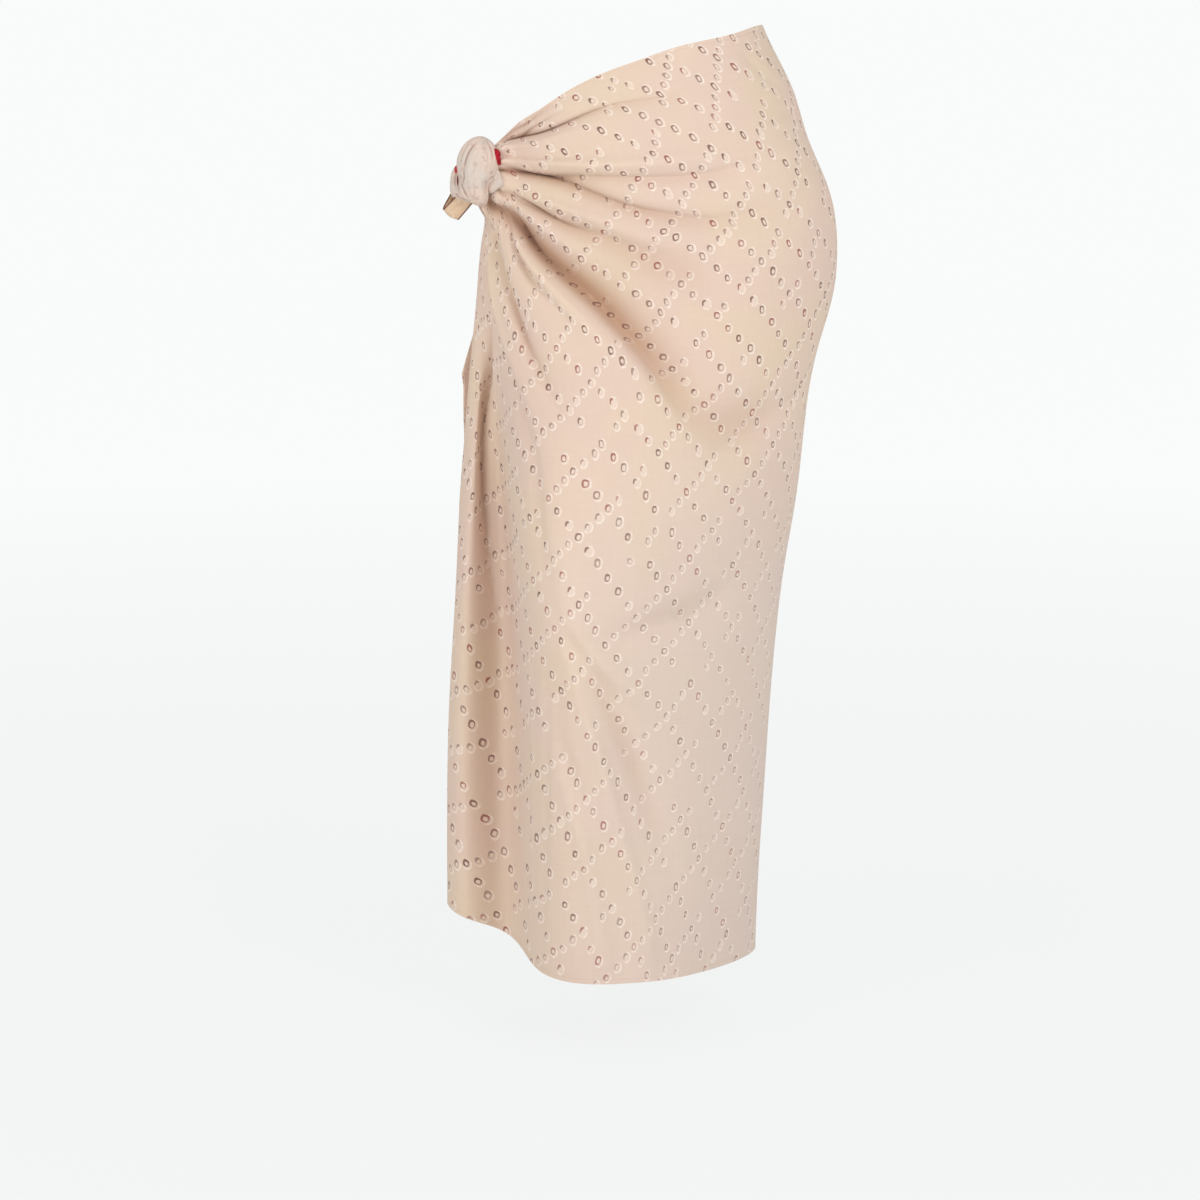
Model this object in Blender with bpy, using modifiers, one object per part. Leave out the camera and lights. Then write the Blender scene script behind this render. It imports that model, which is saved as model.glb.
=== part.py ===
"""A sarong: one rectangle of light cloth wrapped once round the hips and tied by two corners at one side.

Metres, +Z up. The wrap faces -Y, with its knot at -X. The origin is the middle of the waist opening. The tables
below are in millimetres from that point.
"""

import math

import bmesh
import bpy
import numpy as np
from mathutils import Vector

MM = 0.001
WALL = 1.5 * MM  # thickness of the cloth with its folded-over hem
GAP = 0.3 * MM  # between neighbouring pieces
JOIN_GAP = 1.1 * MM  # between the stretches' outer faces at the join; their inner ones come 0.3 to 0.6 mm apart

# The worn form, top to bottom: a row for each height, with the x and y of the places round it.
SECTION_COLUMNS = (
    "height", "left_x", "left_y", "lip_x", "lip_y", "dip_x", "dip_y", "crest_x", "crest_y", "front_x", "front_y",
    "quarter_x", "quarter_y", "right_x", "right_y", "seat_right_y", "seat_y", "seat_left_x", "seat_left_y",
)  # fmt: skip
SECTIONS = (
    (90, -122, 8, -118, -18, -110, -38, -84, -66, -8, -96, 78, -76, 110, 0, 72, 90, -76, 76),
    (40, -138, 8, -133, -20, -124, -42, -95, -73, -6, -104, 94, -82, 133, 2, 80, 98, -84, 84),
    (0, -146, 8, -141, -20, -132, -44, -103, -77, -4, -111, 108, -88, 153, 4, 88, 106, -88, 92),
    (-50, -152, 8, -148, -19, -139, -44, -110, -80, -2, -118, 122, -92, 169, 6, 95, 115, -92, 98),
    (-100, -157, 8, -153, -17, -144, -43, -114, -82, 2, -123, 134, -94, 191, 8, 102, 124, -94, 104),
    (-160, -164, 8, -159, -15, -149, -41, -118, -84, 4, -126, 140, -94, 201, 10, 106, 130, -98, 108),
    (-210, -168, 9, -162, -13, -152, -36, -121, -85, 4, -127, 138, -92, 197, 12, 106, 130, -102, 107),
    (-260, -173, 10, -165, -9, -152, -24, -123, -87, 0, -130, 130, -92, 183, 14, 103, 126, -106, 105),
    (-310, -178, 12, -167, -8, -151, -10, -124, -90, -8, -138, 120, -92, 173, 16, 100, 120, -110, 104),
    (-360, -182, 15, -169, -8, -150, 2, -124, -94, -16, -146, 112, -92, 168, 18, 98, 115, -114, 103),
    (-420, -187, 20, -172, -6, -149, 12, -122, -96, -26, -154, 102, -92, 162, 20, 96, 112, -118, 103),
    (-490, -191, 26, -176, -4, -148, 18, -118, -98, -34, -160, 90, -92, 151, 21, 95, 110, -122, 103),
    (-560, -195, 32, -179, -1, -148, 22, -114, -98, -36, -158, 82, -90, 143, 22, 94, 109, -126, 104),
    (-640, -200, 38, -182, 2, -148, 24, -112, -94, -32, -148, 76, -88, 137, 22, 94, 109, -130, 105),
    (-730, -203, 43, -184, 5, -148, 24, -110, -88, -26, -138, 70, -86, 132, 22, 94, 110, -133, 106),
    (-820, -204, 47, -185, 8, -148, 22, -108, -82, -20, -130, 66, -84, 127, 22, 95, 111, -135, 107),
    (-920, -204, 50, -185, 10, -148, 20, -106, -78, -14, -124, 62, -82, 124, 22, 96, 112, -136, 108),
)  # fmt: skip
SEAT_RIGHT_SHARE = 0.64  # the right seat place, as a share of the half width from the middle
# How far each place lies round the form from the left side, and the whole turn.
PLACES = np.array([0, 30, 62, 130, 236, 356, 486, 590, 696, 796]) * MM
TURN = 905 * MM
JOIN = 516 * MM  # the place, just behind the right side, where the front stretch ends and the back one begins

# The waist edge from the knot round the front, then round the back: place round the form, height.
WAIST_EDGE = (
    (54, -50), (80, -38), (108, -28), (138, -18), (160, -7), (182, 5), (206, 16), (240, 28), (275, 39), (310, 46),
    (350, 52), (400, 60), (516, 60), (560, 55), (640, 40), (720, 16), (790, -16), (850, -46), (905, -66), (930, -74),
)  # fmt: skip
# The hem all round: place, height.
HEM = (
    (0, -866), (30, -870), (62, -886), (130, -902), (236, -905), (356, -905), (486, -903), (590, -902), (696, -900),
    (796, -886),
)  # fmt: skip
# The free edges that hang from the knot: height, place. The front one swings round to the back lower down.
FRONT_EDGE = (
    (-118, 46), (-150, 12), (-200, 4), (-260, 2), (-340, 0), (-400, -4), (-480, -22), (-580, -45), (-700, -62),
    (-800, -70), (-866, -74),
)  # fmt: skip
BACK_EDGE = (
    (-118, 26), (-140, -4), (-200, -6), (-250, -7), (-295, -7), (-330, -9), (-360, -10), (-390, -4), (-450, 10),
    (-600, 20), (-880, 20),
)  # fmt: skip
# How far the back stretch stands out (+) or tucks in (-) near its free edge, by height, and over what width.
BACK_TUCK = ((-118, -5), (-200, -6), (-250, -1), (-295, 8), (-330, 2), (-360, -5), (-390, -8), (-900, -8))
TUCK_WIDTH = 45 * MM

# The knot: its middle, and where it lies on the form.
KNOT = np.array([-163.5, -66, -84]) * MM
KNOT_PLACE = 50 * MM
KNOT_HEIGHT = -84 * MM
KNOT_SPREAD = 60 * MM  # the cloth leaves the form within this distance, to run into the knot
MOUTH = 7 * MM  # radius on the form of the cloth's end inside the knot
MOUTH_HALF_WIDTH = 15 * MM
MOUTH_HALF_HEIGHT = 26 * MM
MOUTH_DEPTHS = {"front": 3 * MM, "back": 19 * MM}  # behind the knot's middle
KNOT_HALF_SIZES = (22.5 * MM, 19 * MM, 34.5 * MM)
KNOT_LEAN = math.radians(-8)
LOBE_MIDDLE = (-174 * MM, -51 * MM, -95 * MM)
LOBE_HALF_SIZES = (19 * MM, 15 * MM, 23 * MM)
LOBE_LEAN = math.radians(-12)
RED_MIDDLE = (-145.5 * MM, -76 * MM, -66 * MM)
RED_HALF_SIZES = (5.5 * MM, 4.5 * MM, 8.5 * MM)
RED_LEAN = math.radians(-30)
TAIL_START = (-176 * MM, -54 * MM, -104 * MM)  # the middle of the strip where it leaves the knot
TAIL_LENGTH = 30 * MM
TAIL_WIDTH = 20 * MM
TAIL_DEPTH = 8 * MM  # between the strip's front and back layers
TAIL_SHIFT = 9 * MM  # how far the back layer slips up and out, past the front one
TAIL_LEAN = math.radians(35)

# The largest folds, run from the knot: x and z of their middle line, depth (a ridge is negative), half width at
# the knot and at the far end, and how much wider or narrower it is above and below its line.
FOLDS = (
    # name, line, depth, near, far, above, below
    ("waist tuck", ((-120, -53), (-67, -31), (8, -11), (66, 4)), 5, 7, 9, 0.8, 1.3),
    ("belly fold", ((-110, -85), (-44, -108), (28, -127), (73, -131), (159, -107)), 7, 8, 15, 0.8, 1.5),
    ("mid fold", ((-111, -113), (-44, -141), (28, -162), (100, -165)), 6, 8, 12, 0.8, 1.1),
    ("great fold", ((-121, -132), (-71, -183), (-19, -235), (33, -304), (72, -335), (117, -313)), 13, 9, 28, 1.2, 0.7),
    ("thigh ridge", ((-115, -155), (-76, -200), (-11, -274), (19, -315)), -4, 8, 20, 0.8, 1.0),
    ("long fold", ((-141, -155), (-127, -205), (-91, -291), (-56, -362)), 6, 7, 12, 1.1, 0.9),
    ("flank valley", ((-124, -310), (-106, -376), (-98, -464), (-81, -542)), 5, 9, 14, 1.0, 1.5),
    ("shin valley", ((-69, -544), (-28, -618), (2, -702), (30, -781), (54, -868)), 9, 10, 26, 0.8, 1.0),
    ("shin ridge", ((-75, -557), (-44, -656), (-17, -761), (8, -871)), -5, 9, 14, 0.9, 1.0),
    ("knee pocket", ((-40, -542), (19, -530), (86, -500), (117, -471)), 5, 14, 22, 0.8, 1.4),
)  # fmt: skip
BACK_FOLDS = (
    ("seat fold", ((-150, -120), (-100, -150), (-30, -185), (60, -190)), 7, 8, 16, 0.8, 1.3),
    ("waist fold", ((-142, -70), (-90, -58), (-10, -30), (70, -5)), 5, 7, 12, 0.8, 1.2),
    ("long fold", ((-158, -150), (-128, -240), (-95, -350), (-70, -480)), 8, 8, 20, 1.2, 0.8),
    ("low fold", ((-120, -470), (-90, -620), (-70, -880)), 6, 14, 24, 1.0, 1.0),
)
FOLD_SHARPNESS = 1.7
FOLD_FADE = 0.35  # share of a fold's length over which it fades at each end

JOIN_RAYS = 22  # rays from the knot that end on the join, in both stretches
FRONT_HEM_RAYS = 26  # and on the hem
BACK_HEM_RAYS = 13
FRONT_STEPS = 24  # along each ray
BACK_STEPS = 22
STEP_GROWTH = 1.25  # the steps lengthen away from the knot

SKIN = (0.74, 0.60, 0.50)  # the cloth's ground, linear
PALE = (0.77, 0.65, 0.56)
SAND = (0.62, 0.46, 0.30)
CRIMSON = (0.33, 0.012, 0.022)


def spline_weights(knots, at, turn=None):
    """Weights that carry values at the knots to a smooth cubic at each place, closed after a turn if one is given."""
    knots, at = np.asarray(knots, float), np.asarray(at, float).ravel()
    count = len(knots)
    ends = knots if turn is None else np.append(knots, knots[0] + turn)
    gaps = np.diff(ends)
    pull, push = np.zeros((count, count)), np.zeros((count, count))
    for i in range(count):
        if turn is None and i in (0, count - 1):
            pull[i, i] = 1
            continue
        before, after = (i - 1) % count, (i + 1) % count
        h0, h1 = gaps[i - 1], gaps[i]
        pull[i, before] += h0
        pull[i, i] += 2 * (h0 + h1)
        pull[i, after] += h1
        push[i, before] += 6 / h0
        push[i, i] -= 6 / h0 + 6 / h1
        push[i, after] += 6 / h1
    bend = np.linalg.solve(pull, push)
    if turn is not None:
        at = np.mod(at - knots[0], turn) + knots[0]
    cell = np.clip(np.searchsorted(knots, at, side="right") - 1, 0, len(gaps) - 1)
    after, h = (cell + 1) % count, gaps[cell]
    b = (at - knots[cell]) / h
    a = 1 - b
    weights = np.zeros((len(at), count))
    rows = np.arange(len(at))
    weights[rows, cell] = a
    weights[rows, after] += b
    weights += ((a**3 - a) * h**2 / 6)[:, None] * bend[cell] + ((b**3 - b) * h**2 / 6)[:, None] * bend[after]
    return weights


def curve_through(table, at, turn=None):
    """A smooth curve through the table's rows (place, value), read at each place."""
    rows = np.array(table, float) * MM
    return (spline_weights(rows[:, 0], at, turn) @ rows[:, 1]).reshape(np.shape(at))


def eased(share):
    share = np.clip(share, 0, 1)
    return share * share * (3 - 2 * share)


def section_places():
    """The x and y of every place at every height, lowest first."""
    table = np.array(SECTIONS, float)[::-1] * MM
    col = {name: table[:, i] for i, name in enumerate(SECTION_COLUMNS)}
    middle = (col["left_x"] + col["right_x"]) / 2
    seat_right = middle + SEAT_RIGHT_SHARE * (col["right_x"] - col["left_x"]) / 2
    front = ("left", "lip", "dip", "crest", "front", "quarter", "right")
    xs = [col[f"{name}_x"] for name in front] + [seat_right, middle, col["seat_left_x"]]
    ys = [col[f"{name}_y"] for name in front] + [col["seat_right_y"], col["seat_y"], col["seat_left_y"]]
    return col["height"], np.stack(xs, 1), np.stack(ys, 1)


HEIGHTS, PLACE_XS, PLACE_YS = section_places()


def form(place, height):
    """The point of the worn form at each place round it and each height."""
    place, height = np.broadcast_arrays(place, height)
    down = spline_weights(HEIGHTS, np.clip(height, HEIGHTS[0], HEIGHTS[-1]))
    around = spline_weights(PLACES, place, TURN)
    x, y = ((down @ PLACE_XS) * around).sum(1), ((down @ PLACE_YS) * around).sum(1)
    return np.stack([x, y, height.ravel()], -1).reshape(place.shape + (3,))


def place_of(x, height, back):
    """The place on the form's front or back that has this x at this height."""
    right = PLACES[6]
    run = np.linspace(right, TURN, 200)[::-1] if back else np.linspace(0, right, 200)
    line = np.maximum.accumulate(form(run, np.full(len(run), height))[:, 0])
    return np.interp(x, line, run)


def cloth_surface(place, height, stretch):
    """The unfolded cloth: it lies on the form and leaves it near the knot, to run into the knot's middle."""
    across = place - KNOT_PLACE - (TURN if stretch == "back" else 0)
    up = height - KNOT_HEIGHT
    angle = np.arctan2(up, across)
    cos, sin = np.cos(angle), np.sin(angle)
    mouth = KNOT + np.stack(
        [MOUTH_HALF_WIDTH * cos, np.full(cos.shape, MOUTH_DEPTHS[stretch]), MOUTH_HALF_HEIGHT * sin], -1
    )
    lift = mouth - form(KNOT_PLACE + MOUTH * cos, KNOT_HEIGHT + MOUTH * sin)
    near = 1 - eased((np.hypot(across, up) - MOUTH) / KNOT_SPREAD)
    return form(place, height) + lift * near[..., None]


def join_heights(rays):
    """Heights down the join where rays end, closer together near the waist, where the folds are."""
    top, foot = curve_through(WAIST_EDGE, [JOIN])[0], curve_through(HEM, [JOIN], TURN)[0]
    walk = np.linspace(top, foot, 500)
    turned = np.arctan2(walk - KNOT_HEIGHT, JOIN - KNOT_PLACE)
    even = (turned - turned[0]) / (turned[-1] - turned[0]) + (walk - top) / (foot - top)
    return np.interp(np.linspace(0, 2, rays + 1), even, walk)


def fan(stretch, hem_rays, steps):
    """Places and heights of a grid of rays from the knot: the first along the waist edge, the last along the free
    edge, and the rest ending down the join and then along the hem."""
    is_back = stretch == "back"
    knot = KNOT_PLACE + (TURN if is_back else 0)
    edge = np.array(BACK_EDGE if is_back else FRONT_EDGE, float)[::-1] * MM
    edge[:, 1] += TURN if is_back else 0
    join = JOIN + (JOIN_GAP / 2 if is_back else -JOIN_GAP / 2)
    down = join_heights(JOIN_RAYS)
    hem_places = np.linspace(join, edge[0, 1], hem_rays + 1)[1:]
    end_place = np.concatenate([np.full(len(down), join), hem_places])
    end_height = np.concatenate([down, curve_through(HEM, hem_places, TURN)])
    share = np.linspace(0, 1, len(end_place))
    along = np.linspace(0, 1, steps + 1) ** STEP_GROWTH
    first, last = np.radians((122, 266) if is_back else (58, -93))
    angle = first + (last - first) * share
    start_place, start_height = knot + MOUTH * np.cos(angle), KNOT_HEIGHT + MOUTH * np.sin(angle)
    place = start_place[:, None] + (end_place - start_place)[:, None] * along
    height = start_height[:, None] + (end_height - start_height)[:, None] * along
    waist = eased(along / 0.1) * (curve_through(WAIST_EDGE, place[0]) - height[0])
    free = eased(along / 0.05) * (np.interp(height[-1], edge[:, 0], edge[:, 1]) - place[-1])
    height += ((1 - share) ** 3)[:, None] * waist
    place += (share**5)[:, None] * free
    return place, height


def normals_of(place, height, stretch):
    step = 1 * MM
    across = cloth_surface(place + step, height, stretch) - cloth_surface(place - step, height, stretch)
    up = cloth_surface(place, height + step, stretch) - cloth_surface(place, height - step, stretch)
    normal = np.cross(across, up)
    return normal / np.linalg.norm(normal, axis=-1, keepdims=True)


def fold_line(line, stretch):
    """A fold's middle line, laid on the cloth: its points, smoothly joined."""
    rows = np.array(line, float) * MM
    place = np.array([place_of(x, z, stretch == "back") for x, z in rows])
    run = np.concatenate([[0], np.cumsum(np.hypot(*np.diff(rows, axis=0).T))])
    weights = spline_weights(run, np.linspace(0, run[-1], 24))
    return cloth_surface(weights @ place, weights @ rows[:, 1], stretch)


def fold_depths(points, normals, folds, stretch):
    """How far each point is pressed in by all the folds together."""
    pressed = np.zeros(points.shape[:-1])
    for _name, line, depth, near, far, above, below in folds:
        middle = fold_line(line, stretch)
        legs = np.diff(middle, axis=0)
        lengths = np.linalg.norm(legs, axis=1)
        start = np.concatenate([[0], np.cumsum(lengths)])
        nearest = np.full(pressed.shape, np.inf)
        share, side = np.zeros(pressed.shape), np.zeros(pressed.shape)
        for leg, length, before, origin in zip(legs, lengths, start, middle):
            away = points - origin
            along = np.clip(away @ leg / length**2, 0, 1)
            rest = away - along[..., None] * leg
            distance = np.linalg.norm(rest, axis=-1)
            closer = distance < nearest
            nearest = np.where(closer, distance, nearest)
            share = np.where(closer, (before + along * length) / start[-1], share)
            side = np.where(closer, (np.cross(normals, leg) * rest).sum(-1), side)
        half = (near + (far - near) * share) * MM * np.where(side > 0, above, below)
        ends = eased(share / FOLD_FADE) * eased((1 - share) / FOLD_FADE)
        pressed += depth * MM * ends * np.exp(-((nearest / half) ** FOLD_SHARPNESS))
    return pressed


def tucked(place, height, stretch):
    """How far the back stretch stands out near its free edge, where the front one laps over it."""
    if stretch != "back":
        return np.zeros(place.shape)
    rows = np.array(BACK_TUCK, float)[::-1] * MM
    edge = np.array(FRONT_EDGE, float)[::-1] * MM
    lapped = TURN + np.minimum(np.interp(height, edge[:, 0], edge[:, 1]), 0)
    from_knot = np.hypot(place - TURN - KNOT_PLACE, height - KNOT_HEIGHT)
    near = eased((place - lapped + TUCK_WIDTH) / (0.7 * TUCK_WIDTH)) * eased(from_knot / KNOT_SPREAD)
    return near * np.interp(height, rows[:, 0], rows[:, 1])


def linear_material(name, colour, roughness):
    material = bpy.data.materials.new(name)
    material.use_nodes = True
    shader = material.node_tree.nodes["Principled BSDF"]
    shader.inputs["Base Color"].default_value = (*colour, 1)
    shader.inputs["Roughness"].default_value = roughness
    shader.inputs["Metallic"].default_value = 0
    return material


def named_object(name, mesh, collection, colour=None):
    made = bpy.data.objects.new(name, mesh)
    collection.objects.link(made)
    if colour is None:
        made.hide_render = True
        made.display_type = "WIRE"
    else:
        mesh.materials.append(linear_material(f"{name}_finish", colour, 0.75))
    return made


def thicken(made):
    solid = made.modifiers.new("cloth", "SOLIDIFY")
    solid.thickness = WALL
    solid.offset = -1


def cut_by(made, *cutters):
    for cutter in cutters:
        cut = made.modifiers.new(f"clear_of_{cutter.name}", "BOOLEAN")
        cut.object = cutter
        cut.operation = "DIFFERENCE"
        cut.solver = "EXACT"


def stretch_of_cloth(name, stretch, hem_rays, steps, folds, collection, cutters):
    """A grid primitive whose points take their places on the folded cloth, given its thickness."""
    rays = JOIN_RAYS + hem_rays
    place, height = fan(stretch, hem_rays, steps)
    points, normals = cloth_surface(place, height, stretch), normals_of(place, height, stretch)
    stand = tucked(place, height, stretch) - fold_depths(points, normals, folds, stretch)
    points = points + normals * stand[..., None]
    shape = bmesh.new()
    bmesh.ops.create_grid(shape, x_segments=rays, y_segments=steps, size=0.5)
    for corner in shape.verts:
        ray, step = round((corner.co.x + 0.5) * rays), round((corner.co.y + 0.5) * steps)
        corner.co = points[ray, step]
    face_outwards(shape, points[rays // 2, steps // 2], normals[rays // 2, steps // 2])
    mesh = bpy.data.meshes.new(name)
    shape.to_mesh(mesh)
    shape.free()
    mesh.shade_smooth()
    made = named_object(name, mesh, collection, SKIN)
    thicken(made)
    cut_by(made, *cutters)
    return made


def face_outwards(shape, point, outwards):
    """Turns all the faces round if the one nearest the point looks the other way."""
    shape.normal_update()
    nearest = min(shape.faces, key=lambda face: (face.calc_center_median() - Vector(point)).length)
    if nearest.normal.dot(Vector(outwards)) < 0:
        bmesh.ops.reverse_faces(shape, faces=shape.faces)


def rounded_lump(name, middle, half_sizes, lean, collection, colour=None, grow=0.0):
    """A ball of gathered cloth: a sphere primitive at its half sizes, leant in the front view."""
    shape = bmesh.new()
    bmesh.ops.create_uvsphere(shape, u_segments=20, v_segments=12, radius=1)
    for corner in shape.verts:
        x, y, z = (value * (half + grow) for value, half in zip(corner.co, half_sizes))
        corner.co = (
            middle[0] + x * math.cos(lean) + z * math.sin(lean),
            middle[1] + y,
            middle[2] - x * math.sin(lean) + z * math.cos(lean),
        )
    mesh = bpy.data.meshes.new(name)
    shape.to_mesh(mesh)
    shape.free()
    mesh.shade_smooth()
    return named_object(name, mesh, collection, colour)


def folded_tail(collection, cutter):
    """A strip that leaves the knot downwards and outwards, turns back at its end and goes behind itself."""
    steps, across = 24, 4
    lengthwise = Vector((-math.sin(TAIL_LEAN), 0, -math.cos(TAIL_LEAN)))
    widthwise = Vector((math.cos(TAIL_LEAN), 0, -math.sin(TAIL_LEAN)))
    straight = TAIL_LENGTH - TAIL_DEPTH / 2
    run = 2 * straight + math.pi * TAIL_DEPTH / 2
    shape = bmesh.new()
    bmesh.ops.create_grid(shape, x_segments=steps, y_segments=across, size=0.5)
    for corner in shape.verts:
        along = (corner.co.x + 0.5) * run
        turn = min(max((along - straight) / (TAIL_DEPTH / 2), 0), math.pi)
        back = max(along - straight - math.pi * TAIL_DEPTH / 2, 0)
        out = min(along, straight) - back + TAIL_DEPTH / 2 * math.sin(turn)
        depth = -TAIL_DEPTH / 2 * math.cos(turn)
        aside = corner.co.y * TAIL_WIDTH - TAIL_SHIFT * along / run
        corner.co = Vector(TAIL_START) + out * lengthwise + aside * widthwise + Vector((0, depth, 0))
    face_outwards(shape, Vector(TAIL_START) + Vector((0, -TAIL_DEPTH / 2, 0)), (0, -1, 0))
    mesh = bpy.data.meshes.new("tail_loop")
    shape.to_mesh(mesh)
    shape.free()
    mesh.shade_smooth()
    made = named_object("tail_loop", mesh, collection, SAND)
    thicken(made)
    cut_by(made, cutter)


def build():
    for old in list(bpy.data.objects):
        bpy.data.objects.remove(old)
    sarong = bpy.data.collections.new("sarong")
    cutters = bpy.data.collections.new("cutters")
    for collection in (sarong, cutters):
        bpy.context.scene.collection.children.link(collection)
    knot = (tuple(KNOT), KNOT_HALF_SIZES, KNOT_LEAN)
    lobe = (LOBE_MIDDLE, LOBE_HALF_SIZES, LOBE_LEAN)
    knot_space = rounded_lump("knot_space", *knot, cutters, grow=GAP)
    lobe_space = rounded_lump("lobe_space", *lobe, cutters, grow=GAP)
    spaces = (knot_space, lobe_space)
    stretch_of_cloth("wrap_front", "front", FRONT_HEM_RAYS, FRONT_STEPS, FOLDS, sarong, spaces)
    stretch_of_cloth("wrap_back", "back", BACK_HEM_RAYS, BACK_STEPS, BACK_FOLDS, sarong, spaces)
    rounded_lump("knot_wrap", *knot, sarong, PALE)
    cut_by(rounded_lump("knot_under", *lobe, sarong, PALE), knot_space)
    cut_by(rounded_lump("red_fold", RED_MIDDLE, RED_HALF_SIZES, RED_LEAN, sarong, CRIMSON), knot_space)
    folded_tail(sarong, lobe_space)


build()
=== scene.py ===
"""A sarong of light printed cloth, wrapped once round the hips and tied by two corners at one side.

Metres, +Z up. The wrap faces -Y, with its knot at -X, and the origin is the middle of the waist opening. The
tables are in millimetres from that point. "Place" is how far round the form a point lies, from the left side.
"""

import math
from collections import namedtuple

import bpy
import numpy as np
from mathutils import Matrix, Vector


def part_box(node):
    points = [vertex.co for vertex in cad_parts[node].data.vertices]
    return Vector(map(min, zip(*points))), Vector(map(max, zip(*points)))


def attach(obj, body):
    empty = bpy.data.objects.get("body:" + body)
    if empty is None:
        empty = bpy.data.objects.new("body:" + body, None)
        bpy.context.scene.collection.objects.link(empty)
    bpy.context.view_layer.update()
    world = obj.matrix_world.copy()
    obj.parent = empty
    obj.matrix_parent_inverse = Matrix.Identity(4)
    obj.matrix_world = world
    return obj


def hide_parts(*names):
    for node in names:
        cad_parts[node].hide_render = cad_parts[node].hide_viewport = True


MM = 0.001

# ---- The worn form, as the solids have it ----

SECTION_COLUMNS = (
    "height", "left_x", "left_y", "lip_x", "lip_y", "dip_x", "dip_y", "crest_x", "crest_y", "front_x",
    "front_y", "quarter_x", "quarter_y", "right_x", "right_y", "seat_right_y", "seat_y", "seat_left_x",
    "seat_left_y",
)  # fmt: skip
SECTIONS = (
    (90, -122, 8, -118, -18, -110, -38, -84, -66, -8, -96, 78, -76, 110, 0, 72, 90, -76, 76),
    (40, -138, 8, -133, -20, -124, -42, -95, -73, -6, -104, 94, -82, 133, 2, 80, 98, -84, 84),
    (0, -146, 8, -141, -20, -132, -44, -103, -77, -4, -111, 108, -88, 153, 4, 88, 106, -88, 92),
    (-50, -152, 8, -148, -19, -139, -44, -110, -80, -2, -118, 122, -92, 169, 6, 95, 115, -92, 98),
    (-100, -157, 8, -153, -17, -144, -43, -114, -82, 2, -123, 134, -94, 191, 8, 102, 124, -94, 104),
    (-160, -164, 8, -159, -15, -149, -41, -118, -84, 4, -126, 140, -94, 201, 10, 106, 130, -98, 108),
    (-210, -168, 9, -162, -13, -152, -36, -121, -85, 4, -127, 138, -92, 197, 12, 106, 130, -102, 107),
    (-260, -173, 10, -165, -9, -152, -24, -123, -87, 0, -130, 130, -92, 183, 14, 103, 126, -106, 105),
    (-310, -178, 12, -167, -8, -151, -10, -124, -90, -8, -138, 120, -92, 173, 16, 100, 120, -110, 104),
    (-360, -182, 15, -169, -8, -150, 2, -124, -94, -16, -146, 112, -92, 168, 18, 98, 115, -114, 103),
    (-420, -187, 20, -172, -6, -149, 12, -122, -96, -26, -154, 102, -92, 162, 20, 96, 112, -118, 103),
    (-490, -191, 26, -176, -4, -148, 18, -118, -98, -34, -160, 90, -92, 151, 21, 95, 110, -122, 103),
    (-560, -195, 32, -179, -1, -148, 22, -114, -98, -36, -158, 82, -90, 143, 22, 94, 109, -126, 104),
    (-640, -200, 38, -182, 2, -148, 24, -112, -94, -32, -148, 76, -88, 137, 22, 94, 109, -130, 105),
    (-730, -203, 43, -184, 5, -148, 24, -110, -88, -26, -138, 70, -86, 132, 22, 94, 110, -133, 106),
    (-820, -204, 47, -185, 8, -148, 22, -108, -82, -20, -130, 66, -84, 127, 22, 95, 111, -135, 107),
    (-920, -204, 50, -185, 10, -148, 20, -106, -78, -14, -124, 62, -82, 124, 22, 96, 112, -136, 108),
)  # fmt: skip
SEAT_RIGHT_SHARE = 0.64  # the right seat place, as a share of the half width from the middle
PLACE_NAMES = ("left", "lip", "dip", "crest", "front", "quarter", "right", "seat_right", "seat", "seat_left")
PLACES = np.array([0, 30, 62, 130, 236, 356, 486, 590, 696, 796]) * MM
TURN = 905 * MM  # once round the form
JOIN = 516 * MM  # the place where the front stretch goes on as the back one
JOIN_SMOOTH = 30 * MM  # folds die away within this distance of it

# Place, height of the waist edge and of the hem.
WAIST_EDGE = (
    (54, -48), (80, -40), (108, -31), (138, -19), (160, -7), (182, 5), (206, 16), (240, 28), (275, 39),
    (310, 46), (350, 52), (400, 60), (516, 60), (560, 55), (640, 40), (720, 16), (790, -16), (850, -46),
    (905, -66), (930, -74),
)  # fmt: skip
HEM = (
    (0, -866), (30, -870), (62, -886), (130, -902), (236, -905), (356, -905), (486, -903), (590, -902),
    (696, -900), (796, -886),
)  # fmt: skip
# Height, place of the two free edges that hang from the knot.
FRONT_EDGE = (
    (-118, 50), (-132, 27), (-150, 11), (-200, 4), (-260, 1), (-340, -3), (-400, -8), (-480, -23),
    (-580, -45), (-700, -62), (-800, -70), (-866, -74),
)  # fmt: skip
BACK_EDGE = (
    (-118, 50), (-140, 22), (-160, 6), (-200, -5), (-250, -7), (-295, -7), (-304, -5), (-360, -10),
    (-390, -4), (-450, 10), (-600, 20), (-880, 20),
)  # fmt: skip
# Height, how far the back stretch stands out near its free edge. A minus tucks it in behind the front one.
BACK_TUCK = (
    (-118, -5), (-200, -6), (-250, -1), (-295, 7), (-304, 4), (-330, 2), (-360, -1), (-400, -5), (-900, -8),
)  # fmt: skip
TUCK_WIDTH = 45 * MM

KNOT = np.array([-163.5, -66, -84]) * MM
KNOT_PLACE, KNOT_HEIGHT = 50 * MM, -84 * MM
KNOT_SPREAD = 60 * MM  # the cloth leaves the form within this distance, to run into the knot
MOUTH = 7 * MM  # radius on the form of the cloth's end inside the knot
MOUTH_HALF_HEIGHT = 26 * MM  # of that end in the knot

# ---- Folds ----

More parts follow.
